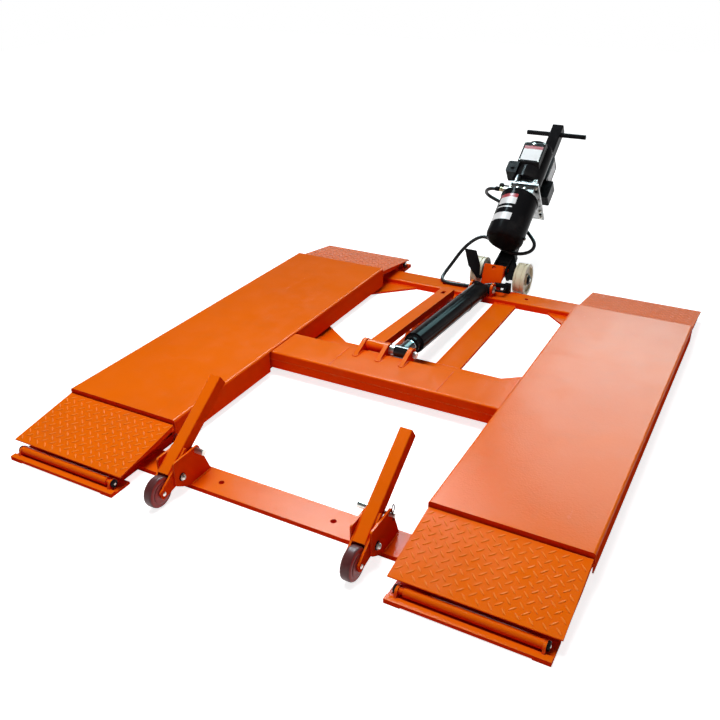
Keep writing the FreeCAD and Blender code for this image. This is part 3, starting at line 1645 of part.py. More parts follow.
def floor_elbow():
    half = elbow_block / 2
    stub_end = elbow_x - half
    body = block(elbow_x - half, elbow_x + half, elbow_y - half, elbow_y + half, rear_member_height,
                 elbow_z + half)
    stub = round_x(fitting_radius, stub_end - elbow_length / 2, stub_end, elbow_y, elbow_z)
    pipe = round_y(pipe_radius, cylinder_rear_y, elbow_y - half, elbow_x, elbow_z)
    pin_end = rear_ear_gap + rear_ear_thick + rear_pin_out
    feed = round_x(pipe_radius, pin_end, elbow_x, cylinder_rear_y, cylinder_rear_z)
    corner = Part.makeSphere(pipe_radius, Vector(elbow_x, cylinder_rear_y, cylinder_rear_z))
    return join([body, stub, pipe, feed, corner])


def build():
    os.makedirs("parts", exist_ok=True)
    front_roller = front_sill_y + front_sill_overhang + sill_roller_inset
    rear_roller = rear_sill_y - rear_sill_overhang - sill_roller_inset
    right_front_sill = sill(front_sill_y, 1, front_roller)
    right_rear_sill = sill(rear_sill_y, -1, rear_roller)
    save("rails_right", side_rails())
    save("rails_left", [mirrored(rail) for rail in side_rails()])
    save("front_sills", both_sides([right_front_sill]))
    save("rear_sills", both_sides([right_rear_sill]))
    save("front_cross_plate", [front_cross_plate()])
    save("mid_cross_plate", [mid_cross_plate()])
    save("rear_cross_member", [rear_cross_member()])
    save("corner_gussets", gussets())
    save("tie_bar", [tie_bar()])
    save("lock_rack", [lock_rack()])
    save("cylinder_rear_ears", cylinder_rear_ears())
    save("tow_hitch", [tow_hitch()])
    save("caster_brackets", [caster_bracket(x) for x in caster_positions])
    hardware = both_sides([sill_bolt(front_roller), sill_bolt(rear_roller)]) + rear_pin_ends()
    for x, side in zip(caster_positions, (-1, 1)):
        hardware += caster_hardware(x, side)
    save("base_hardware", hardware)
    for side, flip in (("right", lambda s: s), ("left", mirrored)):
        save("front_sill_roller_" + side, [flip(sill_roller(front_roller))])
        save("rear_sill_roller_" + side, [flip(sill_roller(rear_roller))])
        save("arms_a_" + side, [flip(s) for s in arms_a()])
        save("arms_b_" + side, [flip(s) for s in arms_b()])
        save("top_rollers_" + side, [flip(roller_set(arm_a_inner, arm_a_outer, upper_pivot_height))])
        save("bottom_rollers_" + side, [flip(roller_set(arm_b_inner, arm_b_outer, lower_pivot_height))])
        save("deck_" + side, [flip(deck())])
        save("deck_fittings_" + side, [flip(s) for s in deck_fittings() + hinge_lugs(-1) + hinge_lugs(1)])
        save("front_ramp_" + side, [flip(front_ramp())])
        save("rear_ramp_" + side, [flip(rear_ramp())])
    save("front_pivot_shafts", both_sides([front_pivot_shaft()]))
    save("centre_beam", [centre_beam()])
    save("clevis_ears", clevis_ears())
    save("clevis_pin", [clevis_pin()])
    save("piston_rod", [piston_rod()])
    save("cylinder_barrel", [cylinder_barrel()])
    save("lock_bar", [lock_bar()])
    for x, side in zip(caster_positions, ("left", "right")):
        save("caster_lever_" + side, [caster_lever(x)])
        save("caster_wheel_" + side, [caster_wheel(x)])
    save("trolley_frame", [trolley_frame()])
    save("trolley_handle", [trolley_handle()])
    save("trolley_axle", [trolley_axle()])
    save("trolley_wheel_left", [trolley_wheel(-1)])
    save("trolley_wheel_right", [trolley_wheel(1)])
    save("foot_pedal", [foot_pedal()])
    save("oil_tank", [oil_tank()])
    save("pump_block", [pump_block()])
    save("motor", [motor()])
    save("electric_boxes", electric_boxes())
    save("push_button", [push_button()])
    save("release_lever", [release_lever()])
    save("pump_fitting", [hose_fittings()])
    save("floor_elbow", [floor_elbow()])
    save("hose", [hose()])


build()
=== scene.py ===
import json
import math
import random

import bpy
from mathutils import Matrix, Vector


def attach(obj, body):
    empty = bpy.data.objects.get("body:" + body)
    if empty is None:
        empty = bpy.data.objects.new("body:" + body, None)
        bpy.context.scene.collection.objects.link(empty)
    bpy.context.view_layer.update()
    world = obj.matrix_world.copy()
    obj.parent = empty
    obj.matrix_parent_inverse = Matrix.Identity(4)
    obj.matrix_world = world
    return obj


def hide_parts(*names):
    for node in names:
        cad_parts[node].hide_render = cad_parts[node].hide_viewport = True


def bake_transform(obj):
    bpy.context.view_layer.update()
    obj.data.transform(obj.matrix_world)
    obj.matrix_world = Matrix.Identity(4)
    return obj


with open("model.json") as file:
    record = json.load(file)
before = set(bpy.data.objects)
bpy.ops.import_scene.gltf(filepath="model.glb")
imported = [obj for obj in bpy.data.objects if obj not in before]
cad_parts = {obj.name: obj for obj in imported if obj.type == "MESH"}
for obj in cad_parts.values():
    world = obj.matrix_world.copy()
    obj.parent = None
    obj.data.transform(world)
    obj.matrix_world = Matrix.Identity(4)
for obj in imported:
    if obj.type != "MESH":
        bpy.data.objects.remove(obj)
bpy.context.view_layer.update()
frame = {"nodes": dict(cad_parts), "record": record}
SCENE = bpy.context.scene
NODES = frame["nodes"]

# The weld beads wander alike in every run
random.seed(11)

# Directions along the lift and across it
ENDS = {"front": -1, "rear": 1}
SIDES = {"left": -1, "right": 1}

# Sizes shared with the construction, in metres
DECK_EDGE = {"front": -0.739, "rear": 0.697}
RAMP_INNER, RAMP_OUTER = 0.4415, 0.8865
RAMP_TOP, RAMP_DROP, RAMP_GAP = 0.094, 0.041, 0.004
RAMP_REACH = {"front": 0.252, "rear": 0.285}
TROLLEY_X, AXLE_Y, AXLE_Z = 0.034, 0.950, 0.0703
LEAN = math.radians(54.4)
CASTER_X = {"left": -0.300, "right": 0.343}
CASTER_Y, CASTER_Z, CHEEK_OUT = -0.987, 0.049, 0.032
CASTER_PIVOT_Y, CASTER_PIVOT_Z = -0.915, 0.065
LOCK_PIN_Y, LOCK_PIN_Z, LOCK_PIN_R = -0.8431, 0.1150, 0.006
TANK_F, TANK_R = 0.137, 0.084
BEAM_TOP, BEAM_HALF = 0.103, 0.492

# Camera fitted to the photograph
CAMERA_AT = (1.1363, -2.3528, 1.4802)
CAMERA_AZ, CAMERA_EL, CAMERA_ROLL = map(math.radians, (-29.16, 28.17, -1.04))
CAMERA_LENS, CAMERA_SENSOR, CAMERA_REACH = 40.685, 36.0, 50


def make_camera():
    """Camera at the photograph's viewing angle, turned a little about its own line of sight."""
    ahead = Vector((
        math.sin(CAMERA_AZ) * math.cos(CAMERA_EL),
        math.cos(CAMERA_AZ) * math.cos(CAMERA_EL),
        -math.sin(CAMERA_EL),
    ))
    right = ahead.cross(Vector((0, 0, 1))).normalized()
    above = right.cross(ahead)
    cosine, sine = math.cos(CAMERA_ROLL), math.sin(CAMERA_ROLL)
    right, above = right * cosine + above * sine, above * cosine - right * sine
    data = bpy.data.cameras.new("camera")
    data.lens, data.sensor_width = CAMERA_LENS, CAMERA_SENSOR
    data.clip_end = CAMERA_REACH
    camera = bpy.data.objects.new("camera", data)
    turn = Matrix((right, above, -ahead)).transposed()
    camera.matrix_world = Matrix.Translation(CAMERA_AT) @ turn.to_4x4()
    SCENE.collection.objects.link(camera)
    SCENE.camera = camera


make_camera()


# Materials, all made of nodes. A span is what a ramp stretches: the usual values of a noise,
# how far the rounded normal turns, how far a face looks up, how open a place is; the last two
# place the painted shade of the paints
NOISE_SPAN = (0.3, 0.7)
EDGE_SPAN = (0.995, 0.80)
FACING_SPAN = (0.1, 0.93)
OPEN_SPAN = (0.25, 0.85)
# Reach of the ambient occlusion for painted shade, and the share of the lit tone that side faces keep
HOLLOW_REACH, SIDE_SHARE, SCUFF_ROUGHNESS = 0.10, 0.22, 0.10
METAL_RIM_SHARE, MOULDED_RIM_SHARE, WHEEL_RIM_SHARE = 0.45, 0.30, 0.40
METAL_RIM_GAIN, ROD_EYE_BLEND = 1.25, 0.001
WARM_GRIME, GREY_GRIME = (0.36, 0.20, 0.07), (0.30, 0.27, 0.24)


class Nodes:
    """Short calls for the nodes of one material or world."""

    def __init__(self, owner):
        owner.use_nodes = True
        self.tree = owner.node_tree
        self.tree.nodes.clear()

    def node(self, kind, **settings):
        node = self.tree.nodes.new(kind)
        for key, value in settings.items():
            setattr(node, key, value)
        return node

    def feed(self, socket, value):
        """Link an output to the socket, or set the socket to a plain value."""
        if hasattr(value, "is_output"):
            self.tree.links.new(value, socket)
        else:
            socket.default_value = value

    def put(self, node, **values):
        for key, value in values.items():
            self.feed(node.inputs[key.replace("_", " ")], value)
        return node

    def math(self, operation, *values):
        node = self.node("ShaderNodeMath", operation=operation)
        for socket, value in zip(node.inputs, values):
            self.feed(socket, value)
        return node.outputs[0]

    def times(self, a, b):
        return self.math("MULTIPLY", a, b)

    def ramp(self, value, low, high, to_low=0.0, to_high=1.0):
        node = self.node("ShaderNodeMapRange")
        self.put(node, Value=value, From_Min=low, From_Max=high, To_Min=to_low, To_Max=to_high)
        return node.outputs[0]

    def part(self, vector, axis):
        """One of the three numbers of a vector, named X, Y or Z."""
        return self.put(self.node("ShaderNodeSeparateXYZ"), Vector=vector).outputs[axis]

    def coordinates(self, kind):
        return self.node("ShaderNodeTexCoord").outputs[kind]

    def camera_or_mirror(self):
        """1 for what the camera sees directly, in a mirror or through glass, else 0."""
        path = self.node("ShaderNodeLightPath").outputs
        mirrored = self.math("MAXIMUM", path["Is Glossy Ray"], path["Is Transmission Ray"])
        return self.math("MAXIMUM", path["Is Camera Ray"], mirrored)


class Shader(Nodes):
    """A material with one Principled surface."""

    def __init__(self, name):
        self.material = bpy.data.materials.new(name)
        super().__init__(self.material)
        self.bsdf = self.node("ShaderNodeBsdfPrincipled")
        out = self.node("ShaderNodeOutputMaterial")
        self.tree.links.new(self.bsdf.outputs[0], out.inputs[0])
        self.place = self.coordinates("Object")

    def noise(self, scale, detail, rough, stretch=None):
        place = self.place
        if stretch:
            mapping = self.node("ShaderNodeMapping")
            self.put(mapping, Vector=place, Scale=stretch)
            place = mapping.outputs[0]
        noise = self.node("ShaderNodeTexNoise")
        self.put(noise, Vector=place, Scale=scale, Detail=detail, Roughness=rough)
        return noise.outputs["Fac"]

    def mix(self, share, first, second):
        """Blend of two colours, each an output or three numbers."""
        node = self.node("ShaderNodeMix", data_type="RGBA")
        self.feed(node.inputs[0], share)
        for socket, value in ((node.inputs[6], first), (node.inputs[7], second)):
            self.feed(socket, (*value, 1) if isinstance(value, tuple) else value)
        return node.outputs[2]

    def normal(self):
        return self.node("ShaderNodeNewGeometry").outputs["Normal"]

    def edges(self, radius):
        """Rounded normal and a mask that is high along sharp edges."""
        bevel = self.put(self.node("ShaderNodeBevel", samples=4), Radius=radius)
        dot = self.node("ShaderNodeVectorMath", operation="DOT_PRODUCT")
        self.feed(dot.inputs[0], bevel.outputs[0])
        self.feed(dot.inputs[1], self.normal())
        return bevel.outputs[0], self.ramp(dot.outputs["Value"], *EDGE_SPAN)

    def vary(self, noise, middle, below, above):
        """A noise turned into values that lie round the middle one."""
        return self.ramp(noise, *NOISE_SPAN, to_low=middle - below, to_high=middle + above)

    def bump(self, height, strength, distance, normal):
        node = self.put(self.node("ShaderNodeBump"), Height=height, Strength=strength, Distance=distance)
        self.feed(node.inputs["Normal"], normal)
        return node.outputs[0]


def paint(name, colour, deep, light, rough, peel, peel_scale,
          dust=0.08, edge=0.0013, mirror=0.15, painted_shade=None):
    """Powder coat or enamel: tone drifts, dust gathers, the film is pebbled; edges turn to the light
    colour, partly worn paint and partly painted highlight; with a shade colour given, hollows and side
    faces are tinted towards it as painted shade, and side faces lose their gloss.
    """
    look = Shader(name)
    rounded, rim = look.edges(edge)
    drift = look.ramp(look.noise(scale=2.3, detail=4, rough=0.6), *NOISE_SPAN)
    tone = look.mix(drift, colour, deep)
    # Painted shade: ambient occlusion and faces that look sideways or down mix the tone towards the dark
    # red shade colour
    if painted_shade:
        hollow = look.node("ShaderNodeAmbientOcclusion", samples=6)
        look.put(hollow, Distance=HOLLOW_REACH)
        facing = look.part(look.normal(), "Z")
        open_share = look.ramp(hollow.outputs["AO"], *OPEN_SPAN)
        lit = look.times(open_share, look.ramp(facing, *FACING_SPAN, to_low=SIDE_SHARE))
        tone = look.mix(lit, painted_shade, tone)
        mirror = look.ramp(facing, *FACING_SPAN, to_high=mirror)
    # Painted highlight and wear: sharp edges turn to the light colour in patches
    patches = look.noise(scale=60, detail=3, rough=0.7)
    edge_wear_and_highlight = look.ramp(patches, low=0.42, high=0.62, to_low=0.30, to_high=0.85)
    tone = look.mix(look.times(rim, edge_wear_and_highlight), tone, light)
    grime = look.ramp(look.noise(scale=9, detail=6, rough=0.68), low=0.52, high=0.78)
    tone = look.mix(look.times(grime, dust), tone, WARM_GRIME if painted_shade else GREY_GRIME)
    look.put(look.bsdf, Base_Color=tone, Specular_IOR_Level=mirror)
    streaks = look.noise(scale=34, detail=5, rough=0.75, stretch=(1.0, 0.12, 1.0))
    scuffs = look.ramp(streaks, low=0.63, high=0.72)
    sheen = look.noise(scale=14, detail=4, rough=0.6)
    base = look.vary(sheen, rough, below=0.05, above=0.07)
    look.put(look.bsdf, Roughness=look.math("MULTIPLY_ADD", scuffs, SCUFF_ROUGHNESS, base))
    pebbles = look.noise(scale=peel_scale, detail=2, rough=0.5)
    skin = look.bump(pebbles, strength=peel, distance=0.0006, normal=rounded)
    waves = look.noise(scale=5, detail=2, rough=0.5)
    look.put(look.bsdf, Normal=look.bump(waves, strength=0.10, distance=0.0012, normal=skin))
    return look.material


def metal(name, colour, dull, rough, streaks=0.10):
    """Bare or plated metal with drifting tone, fine grain and a little haze."""
    look = Shader(name)
    rounded, rim = look.edges(radius=0.0005)
    haze = look.ramp(look.noise(scale=40, detail=5, rough=0.65), low=0.35, high=0.7)
    bright = tuple(min(1.0, METAL_RIM_GAIN * c) for c in colour)
    tone = look.mix(look.times(rim, METAL_RIM_SHARE), look.mix(haze, colour, dull), bright)
    look.put(look.bsdf, Base_Color=tone, Metallic=1.0)
    spots = look.noise(scale=160, detail=4, rough=0.6)
    look.put(look.bsdf, Roughness=look.vary(spots, rough, below=0.06, above=0.10))
    grain = look.noise(scale=700, detail=3, rough=0.6)
    look.put(look.bsdf, Normal=look.bump(grain, strength=streaks, distance=0.0003, normal=rounded))
    return look.material


def rod_finish(name, chrome, black, rough, eye_end):
    """Chromed rod whose eye, nearer than eye_end along the lift, is painted black."""
    look = Shader(name)
    rounded, _ = look.edges(radius=0.0006)
    eye = look.ramp(look.part(look.place, "Y"), eye_end, eye_end - ROD_EYE_BLEND)
    bare = look.ramp(eye, low=0.0, high=1.0, to_low=1.0, to_high=0.0)
    look.put(look.bsdf, Base_Color=look.mix(eye, chrome, black), Metallic=bare, Specular_IOR_Level=0.3)
    spots = look.noise(scale=120, detail=3, rough=0.6)
    look.put(look.bsdf, Roughness=look.vary(spots, rough, below=0.0, above=0.12))
    grain = look.noise(scale=500, detail=3, rough=0.6)
    look.put(look.bsdf, Normal=look.bump(grain, strength=0.06, distance=0.0003, normal=rounded))
    return look.material


def moulded(name, colour, worn, rough, grain_scale, grain, mirror=0.5, dirt=0.35):
    """Plastic or rubber: a little sheen, rubbed edges and dirt in broad spots."""
    look = Shader(name)
    rounded, rim = look.edges(radius=0.0010)
    spots = look.ramp(look.noise(scale=26, detail=6, rough=0.7), low=0.45, high=0.72)
    soiled = look.mix(look.times(spots, dirt), colour, worn)
    tone = look.mix(look.times(rim, MOULDED_RIM_SHARE), soiled, worn)
    look.put(look.bsdf, Base_Color=tone, Specular_IOR_Level=mirror)
    sheen = look.noise(scale=55, detail=4, rough=0.6)
    look.put(look.bsdf, Roughness=look.vary(sheen, rough, below=0.06, above=0.08))
    skin = look.noise(scale=grain_scale, detail=3, rough=0.6)
    look.put(look.bsdf, Normal=look.bump(skin, strength=grain, distance=0.0005, normal=rounded))
    return look.material


WHEEL_DUST, WHEEL_EDGE = (0.12, 0.060, 0.052), (0.20, 0.09, 0.08)


def wheel_finish(name, running, sides, rough):
    """Moulded wheel: the running face is rubbed, the sides keep their colour."""
    look = Shader(name)
    rounded, rim = look.edges(radius=0.0012)
    side = look.ramp(look.math("ABSOLUTE", look.part(look.normal(), "X")), low=0.55, high=0.85)
    dust = look.ramp(look.noise(scale=45, detail=5, rough=0.7), low=0.40, high=0.70, to_high=0.45)
    tone = look.mix(dust, look.mix(side, running, sides), WHEEL_DUST)
    tone = look.mix(look.times(rim, WHEEL_RIM_SHARE), tone, WHEEL_EDGE)
    look.put(look.bsdf, Base_Color=tone, Specular_IOR_Level=0.25)
    spots = look.noise(scale=60, detail=4, rough=0.6)
    look.put(look.bsdf, Roughness=look.vary(spots, rough, below=0.05, above=0.10))
    skin = look.noise(scale=320, detail=3, rough=0.6)
    look.put(look.bsdf, Normal=look.bump(skin, strength=0.2, distance=0.0005, normal=rounded))
    return look.material


# Orange paint: the light edge colour is partly worn paint and partly painted highlight; the dark red is
# painted shade for hollows and side faces
ORANGE = {
    "colour": (0.88, 0.156, 0.002),
    "deep": (0.82, 0.138, 0.002),
    "light": (0.95, 0.38, 0.16),
    "painted_shade": (0.74, 0.010, 0.001),
    "mirror": 0.08,
}
ROD_EYE_END = 0.057
MATERIALS = {
    "orange_paint": paint("orange_powder", rough=0.17, peel=0.75, peel_scale=170, **ORANGE),
    "black_paint": paint(
        "black_enamel",
        colour=(0.007, 0.007, 0.008), deep=(0.012, 0.012, 0.013), light=(0.06, 0.06, 0.06),
        rough=0.15, peel=0.012, peel_scale=300, dust=0.05, mirror=0.022,
    ),
    "ivory_nylon": moulded(
        "ivory_nylon", colour=(0.74, 0.68, 0.49), worn=(0.40, 0.34, 0.22),
        rough=0.42, grain_scale=260, grain=0.16,
    ),
    "maroon_tread": wheel_finish(
        "maroon_tread", running=(0.110, 0.026, 0.026), sides=(0.330, 0.016, 0.012), rough=0.36,
    ),
    "zinc_steel": metal("zinc_plate", colour=(0.74, 0.73, 0.68), dull=(0.50, 0.48, 0.43), rough=0.38),
    "chrome_rod": rod_finish(
        "hard_chrome", chrome=(0.80, 0.81, 0.82), black=(0.014, 0.014, 0.015),
        rough=0.12, eye_end=ROD_EYE_END,
    ),
    "cast_aluminium": metal(
        "bare_aluminium", colour=(0.52, 0.52, 0.52), dull=(0.22, 0.22, 0.21), rough=0.34, streaks=0.22,
    ),
    "hose_rubber": moulded(
        "hose_rubber", colour=(0.012, 0.012, 0.013), worn=(0.05, 0.05, 0.05),
        rough=0.30, grain_scale=520, grain=0.18, mirror=0.30,
    ),
    "black_plastic": moulded(
        "black_plastic", colour=(0.009, 0.009, 0.010), worn=(0.04, 0.04, 0.04),
        rough=0.28, grain_scale=900, grain=0.15, mirror=0.07,
    ),
    "plain_rubber": moulded(
        "plain_rubber", colour=(0.014, 0.014, 0.014), worn=(0.05, 0.05, 0.05),
        rough=0.45, grain_scale=400, grain=0.15, mirror=0.2,
    ),
}
EXTRA = {
    "weld": paint("painted_weld", rough=0.30, peel=0.30, peel_scale=420, edge=0.0004, **ORANGE),
    # Tread paint: the ramp orange made lighter, a painted highlight on the raised bars
    "tread": paint(
        "tread_painted_highlight",
        colour=(0.94, 0.24, 0.025), deep=(0.90, 0.20, 0.012), light=(0.97, 0.36, 0.12),
        rough=0.30, peel=0.20, peel_scale=300, edge=0.0012, mirror=0.06,
    ),
    "label_white": moulded(
        "label_film", colour=(0.78, 0.79, 0.80), worn=(0.60, 0.60, 0.58),
        rough=0.32, grain_scale=900, grain=0.04, dirt=0.25,
    ),
    "label_red": moulded(
        "label_band", colour=(0.42, 0.035, 0.045), worn=(0.30, 0.05, 0.06),
        rough=0.32, grain_scale=900, grain=0.04, dirt=0.2,
    ),
    "brass": metal("plated_brass", colour=(0.78, 0.68, 0.44), dull=(0.60, 0.50, 0.30), rough=0.30),
}


def dress_nodes():
    """Every construction node keeps its shape and takes the scene's own material."""
    for part in frame["record"]["subparts"]:
        obj = NODES[part["node"]]
        obj.data.materials.clear()
        obj.data.materials.append(MATERIALS[part["material_slot"]])


dress_nodes()


# Geometry helpers
def angles(count, start=0.0):
    """Angles spread evenly round a circle."""
    return [start + 2 * math.pi * i / count for i in range(count)]


def ring(centre, side, other, radius, count):
    """Points round a circle that lies in the plane of side and other."""
    return [centre + (side * math.cos(a) + other * math.sin(a)) * radius for a in angles(count)]


RIPPLE_PITCH, BEAD_END_SHARE = 2.1, 0.45


class Shape:
    """Vertices and faces gathered before they become one piece."""

    def __init__(self):
        self.points, self.faces = [], []

    def add(self, points, faces):
        start = len(self.points)
        self.points += [Vector(p) for p in points]
        self.faces += [tuple(start + i for i in face) for face in faces]

    def skin(self, rings):
        """Skin over rings of equal count, closed around and at both ends."""
        count = len(rings[0])
        faces = []
        for r in range(len(rings) - 1):
            for i in range(count):
                j = (i + 1) % count
                faces.append((r * count + i, r * count + j, (r + 1) * count + j, (r + 1) * count + i))
        faces.append(tuple(reversed(range(count))))
        faces.append(tuple(range((len(rings) - 1) * count, len(rings) * count)))
        self.add([p for points in rings for p in points], faces)

    def lathe(self, centre, axis, profile, count):
        """Turned form: profile lists distance along the axis and radius."""
        axis = Vector(axis).normalized()
        side = axis.orthogonal().normalized()
        other = axis.cross(side)
        self.skin([
            ring(Vector(centre) + axis * along, side, other, radius, count) for along, radius in profile
        ])

    def tube(self, path, radius, count, ripple=0.0):
        """Round section swept along a list of points; a rippled one has drawn-in ends."""
        path = [Vector(p) for p in path]
        last = len(path) - 1
        side = (path[1] - path[0]).normalized().orthogonal().normalized()
        rings = []
        for index, point in enumerate(path):
            ahead = (path[min(index + 1, last)] - path[max(index - 1, 0)]).normalized()
            side = (side - ahead * side.dot(ahead)).normalized()
            size = 1 + ripple * math.sin(index * RIPPLE_PITCH)
            if ripple and index in (0, last):
                size = BEAD_END_SHARE
            rings.append(ring(point, side, ahead.cross(side), radius * size, count))
        self.skin(rings)

    def piece(self, name, body, slot, look=None, smooth=True):
        """One named piece that rides on the body; a look stands in for the slot's own material."""
        mesh = bpy.data.meshes.new(name)
        mesh.from_pydata([tuple(p) for p in self.points], [], self.faces)
        mesh.validate()
        mesh.update()
        mesh.polygons.foreach_set("use_smooth", [smooth] * len(mesh.polygons))
        mesh.materials.append(EXTRA[look] if look else MATERIALS[slot])
        obj = bpy.data.objects.new(name, mesh)
        SCENE.collection.objects.link(obj)
        if body:
            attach(obj, body)
        return obj


def up(x, f, h):
    """Place on the upright trolley as a place in the frame: x across, f forward, h up the post."""
    return Vector((
        TROLLEY_X + x,
        AXLE_Y + h * math.sin(LEAN) - f * math.cos(LEAN),
        AXLE_Z + h * math.cos(LEAN) + f * math.sin(LEAN),
    ))


X_AXIS = Vector((1, 0, 0))
UP_AXIS = (up(0, 0, 1) - up(0, 0, 0)).normalized()
FORE_AXIS = (up(0, 1, 0) - up(0, 0, 0)).normalized()


def steps(a, b, size):
    """Points spread evenly from a to b, about size apart."""
    a, b = Vector(a), Vector(b)
    count = max(2, int((b - a).length / size))
    return [a.lerp(b, i / count) for i in range(count + 1)]


# Bolts: shares of the height and of the radius
HEX_SHARES = ((0, 1.0), (0.82, 1.0), (1.0, 0.86))
SOCKET_SHARES = ((0, 1.0), (0.85, 1.0), (1.0, 0.86), (1.0, 0.48), (0.45, 0.46), (0.44, 0.02))


def scaled(shares, height, radius):
    return [(along * height, out * radius) for along, out in shares]


def hex_bolt(shape, centre, axis, flat, height):
    """Chamfered hexagon head standing on centre."""
    shape.lathe(centre, axis, scaled(HEX_SHARES, height, flat / math.sqrt(3)), count=6)


def socket_screw(shape, centre, axis, radius, height):
    """Round head with a socket, standing on centre."""
    shape.lathe(centre, axis, scaled(SOCKET_SHARES, height, radius), count=18)


# Hose: a smooth curve led by these points, from the pump fitting to the elbow at the cylinder
HOSE_DIAMETER = 0.016
HOSE_ROUTE = (
    (-0.0540, 1.1661, 0.3972),
    (-0.0840, 1.1661, 0.3972),
    (-0.1260, 1.1704, 0.3929),
    (-0.1520, 1.1903, 0.3702),
    (-0.1460, 1.2173, 0.3428),
    (-0.1080, 1.2285, 0.3238),
    (-0.0510, 1.2091, 0.3062),
    (0.0090, 1.1701, 0.2783),
    (0.0640, 1.1248, 0.2471),
    (0.1140, 1.0870, 0.2225),
    (0.1460, 1.0555, 0.2012),
    (0.1440, 1.0246, 0.1791),
    (0.1080, 1.0057, 0.1643),
    (0.0560, 1.0036, 0.1603),
    (-0.0010, 1.0172, 0.1688),
    (-0.0520, 1.0419, 0.1927),
    (-0.1000, 1.0498, 0.2057),
    (-0.1440, 1.0229, 0.1815),
    (-0.1780, 0.9876, 0.1415),
    (-0.2030, 0.9470, 0.0920),
    (-0.2180, 0.9120, 0.0620),
    (-0.2240, 0.8800, 0.0440),
    (-0.2140, 0.8520, 0.0386),
    (-0.1880, 0.8360, 0.0386),
    (-0.1480, 0.8320, 0.0386),
    (-0.1000, 0.8360, 0.0390),
    (-0.0480, 0.8430, 0.0420),
    (-0.0020, 0.8530, 0.0510),
    (0.0340, 0.8640, 0.0580),
    (0.0660, 0.8640, 0.0580),
)


def hose_line():
    """The drawn line of the hose as points, taken from a curve that is removed again."""
    curve = bpy.data.curves.new("hose_line", "CURVE")
    curve.dimensions = "3D"
    curve.resolution_u = 10
    spline = curve.splines.new("NURBS")
    spline.points.add(len(HOSE_ROUTE) - 1)
    for point, place in zip(spline.points, HOSE_ROUTE):
        point.co = (*place, 1)
    spline.order_u = 3
    spline.use_endpoint_u = True
    obj = bpy.data.objects.new("hose_line", curve)
    SCENE.collection.objects.link(obj)
    mesh = bpy.data.meshes.new_from_object(obj)
    points = [v.co.copy() for v in mesh.vertices]
    bpy.data.objects.remove(obj)
    return points


HOSE_PATH = hose_line()


def make_hose():
    shape = Shape()
    shape.tube(HOSE_PATH, HOSE_DIAMETER / 2, count=20)
    hose = shape.piece("pressure_hose", None, "hose_rubber")
    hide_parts("hose")
    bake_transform(hose)


make_hose()

# Sleeves at the ends of the hose
SLEEVE_GAP, SLEEVE_MARGIN = 0.0004, 0.002
RIBS, RIB_LENGTH, RIB_END = 4, 0.0042, 0.0050
RIB_RISE, VALLEY_RISE = 0.0022, 0.0014
PUMP_SLEEVE, PUMP_GRIP, BASE_SLEEVE = 0.020, 0.022, 0.030


def crimp_sleeve(name, end, ahead, length, body, slot, look=None):
    """Ribbed sleeve that grips one end of the hose."""
    grip = HOSE_DIAMETER / 2 + SLEEVE_GAP
    crest, valley = grip + RIB_RISE, grip + VALLEY_RISE
    profile = [(0, grip)]
    for rib in range(RIBS):
        at = SLEEVE_MARGIN + rib * (length - 3 * SLEEVE_MARGIN) / RIBS
        profile += [(at, crest), (at + RIB_LENGTH, crest), (at + RIB_END, valley)]
    profile += [(length - SLEEVE_MARGIN, crest), (length, grip)]
    shape = Shape()
    shape.lathe(end, ahead, profile, count=24)
    shape.piece(name, body, slot, look)


def hose_ends():
    pump, base = HOSE_PATH[0], HOSE_PATH[-1]
    ahead = (HOSE_PATH[1] - pump).normalized()
    crimp_sleeve("hose_sleeve_pump", pump, ahead, PUMP_SLEEVE, "trolley", "zinc_steel", "brass")
    crimp_sleeve("hose_grip_pump", pump + ahead * PUMP_SLEEVE, ahead, PUMP_GRIP, "trolley", "black_paint")
    crimp_sleeve("hose_sleeve_base", base, HOSE_PATH[-2] - base, BASE_SLEEVE, "base", "black_paint")


hose_ends()

# Raised tread on the ramps: each bar tapers from its foot to its flat crown
TREAD_STEP, TREAD_LENGTH, TREAD_WIDTH, TREAD_MARGIN = 0.0166, 0.0250, 0.0060, 0.011
TREAD_HEIGHT = {"front": 0.0018, "rear": 0.0008}
# Front bars take the lighter tread paint as a painted highlight; rear bars keep the plain orange
TREAD_LOOK = {"front": "tread", "rear": None}
BAR_SHARES = ((1.0, -0.15), (0.93, 0.35), (0.74, 0.85), (0.45, 1.0))
BAR_TAPER_SHARE, BAR_BULGE, BAR_POINTS = 0.45, 0.35, 12
BAR_LEAN = math.radians(45)


def lozenge(shape, centre, along, across, normal, height):
    """One bar of the tread: pointed ends, flat crown, sides that run out into the plate."""
    rings = []
    for scale, rise in BAR_SHARES:
        bar = []
        for a in angles(BAR_POINTS):
            u = math.cos(a) * TREAD_LENGTH / 2
            v = math.sin(a) * abs(math.sin(a)) ** BAR_BULGE * TREAD_WIDTH / 2
            reach = u * (1 - BAR_TAPER_SHARE * (1 - scale))
            bar.append(centre + along * reach + across * (v * scale) + normal * (height * rise))
        rings.append(bar)
    shape.skin(rings)


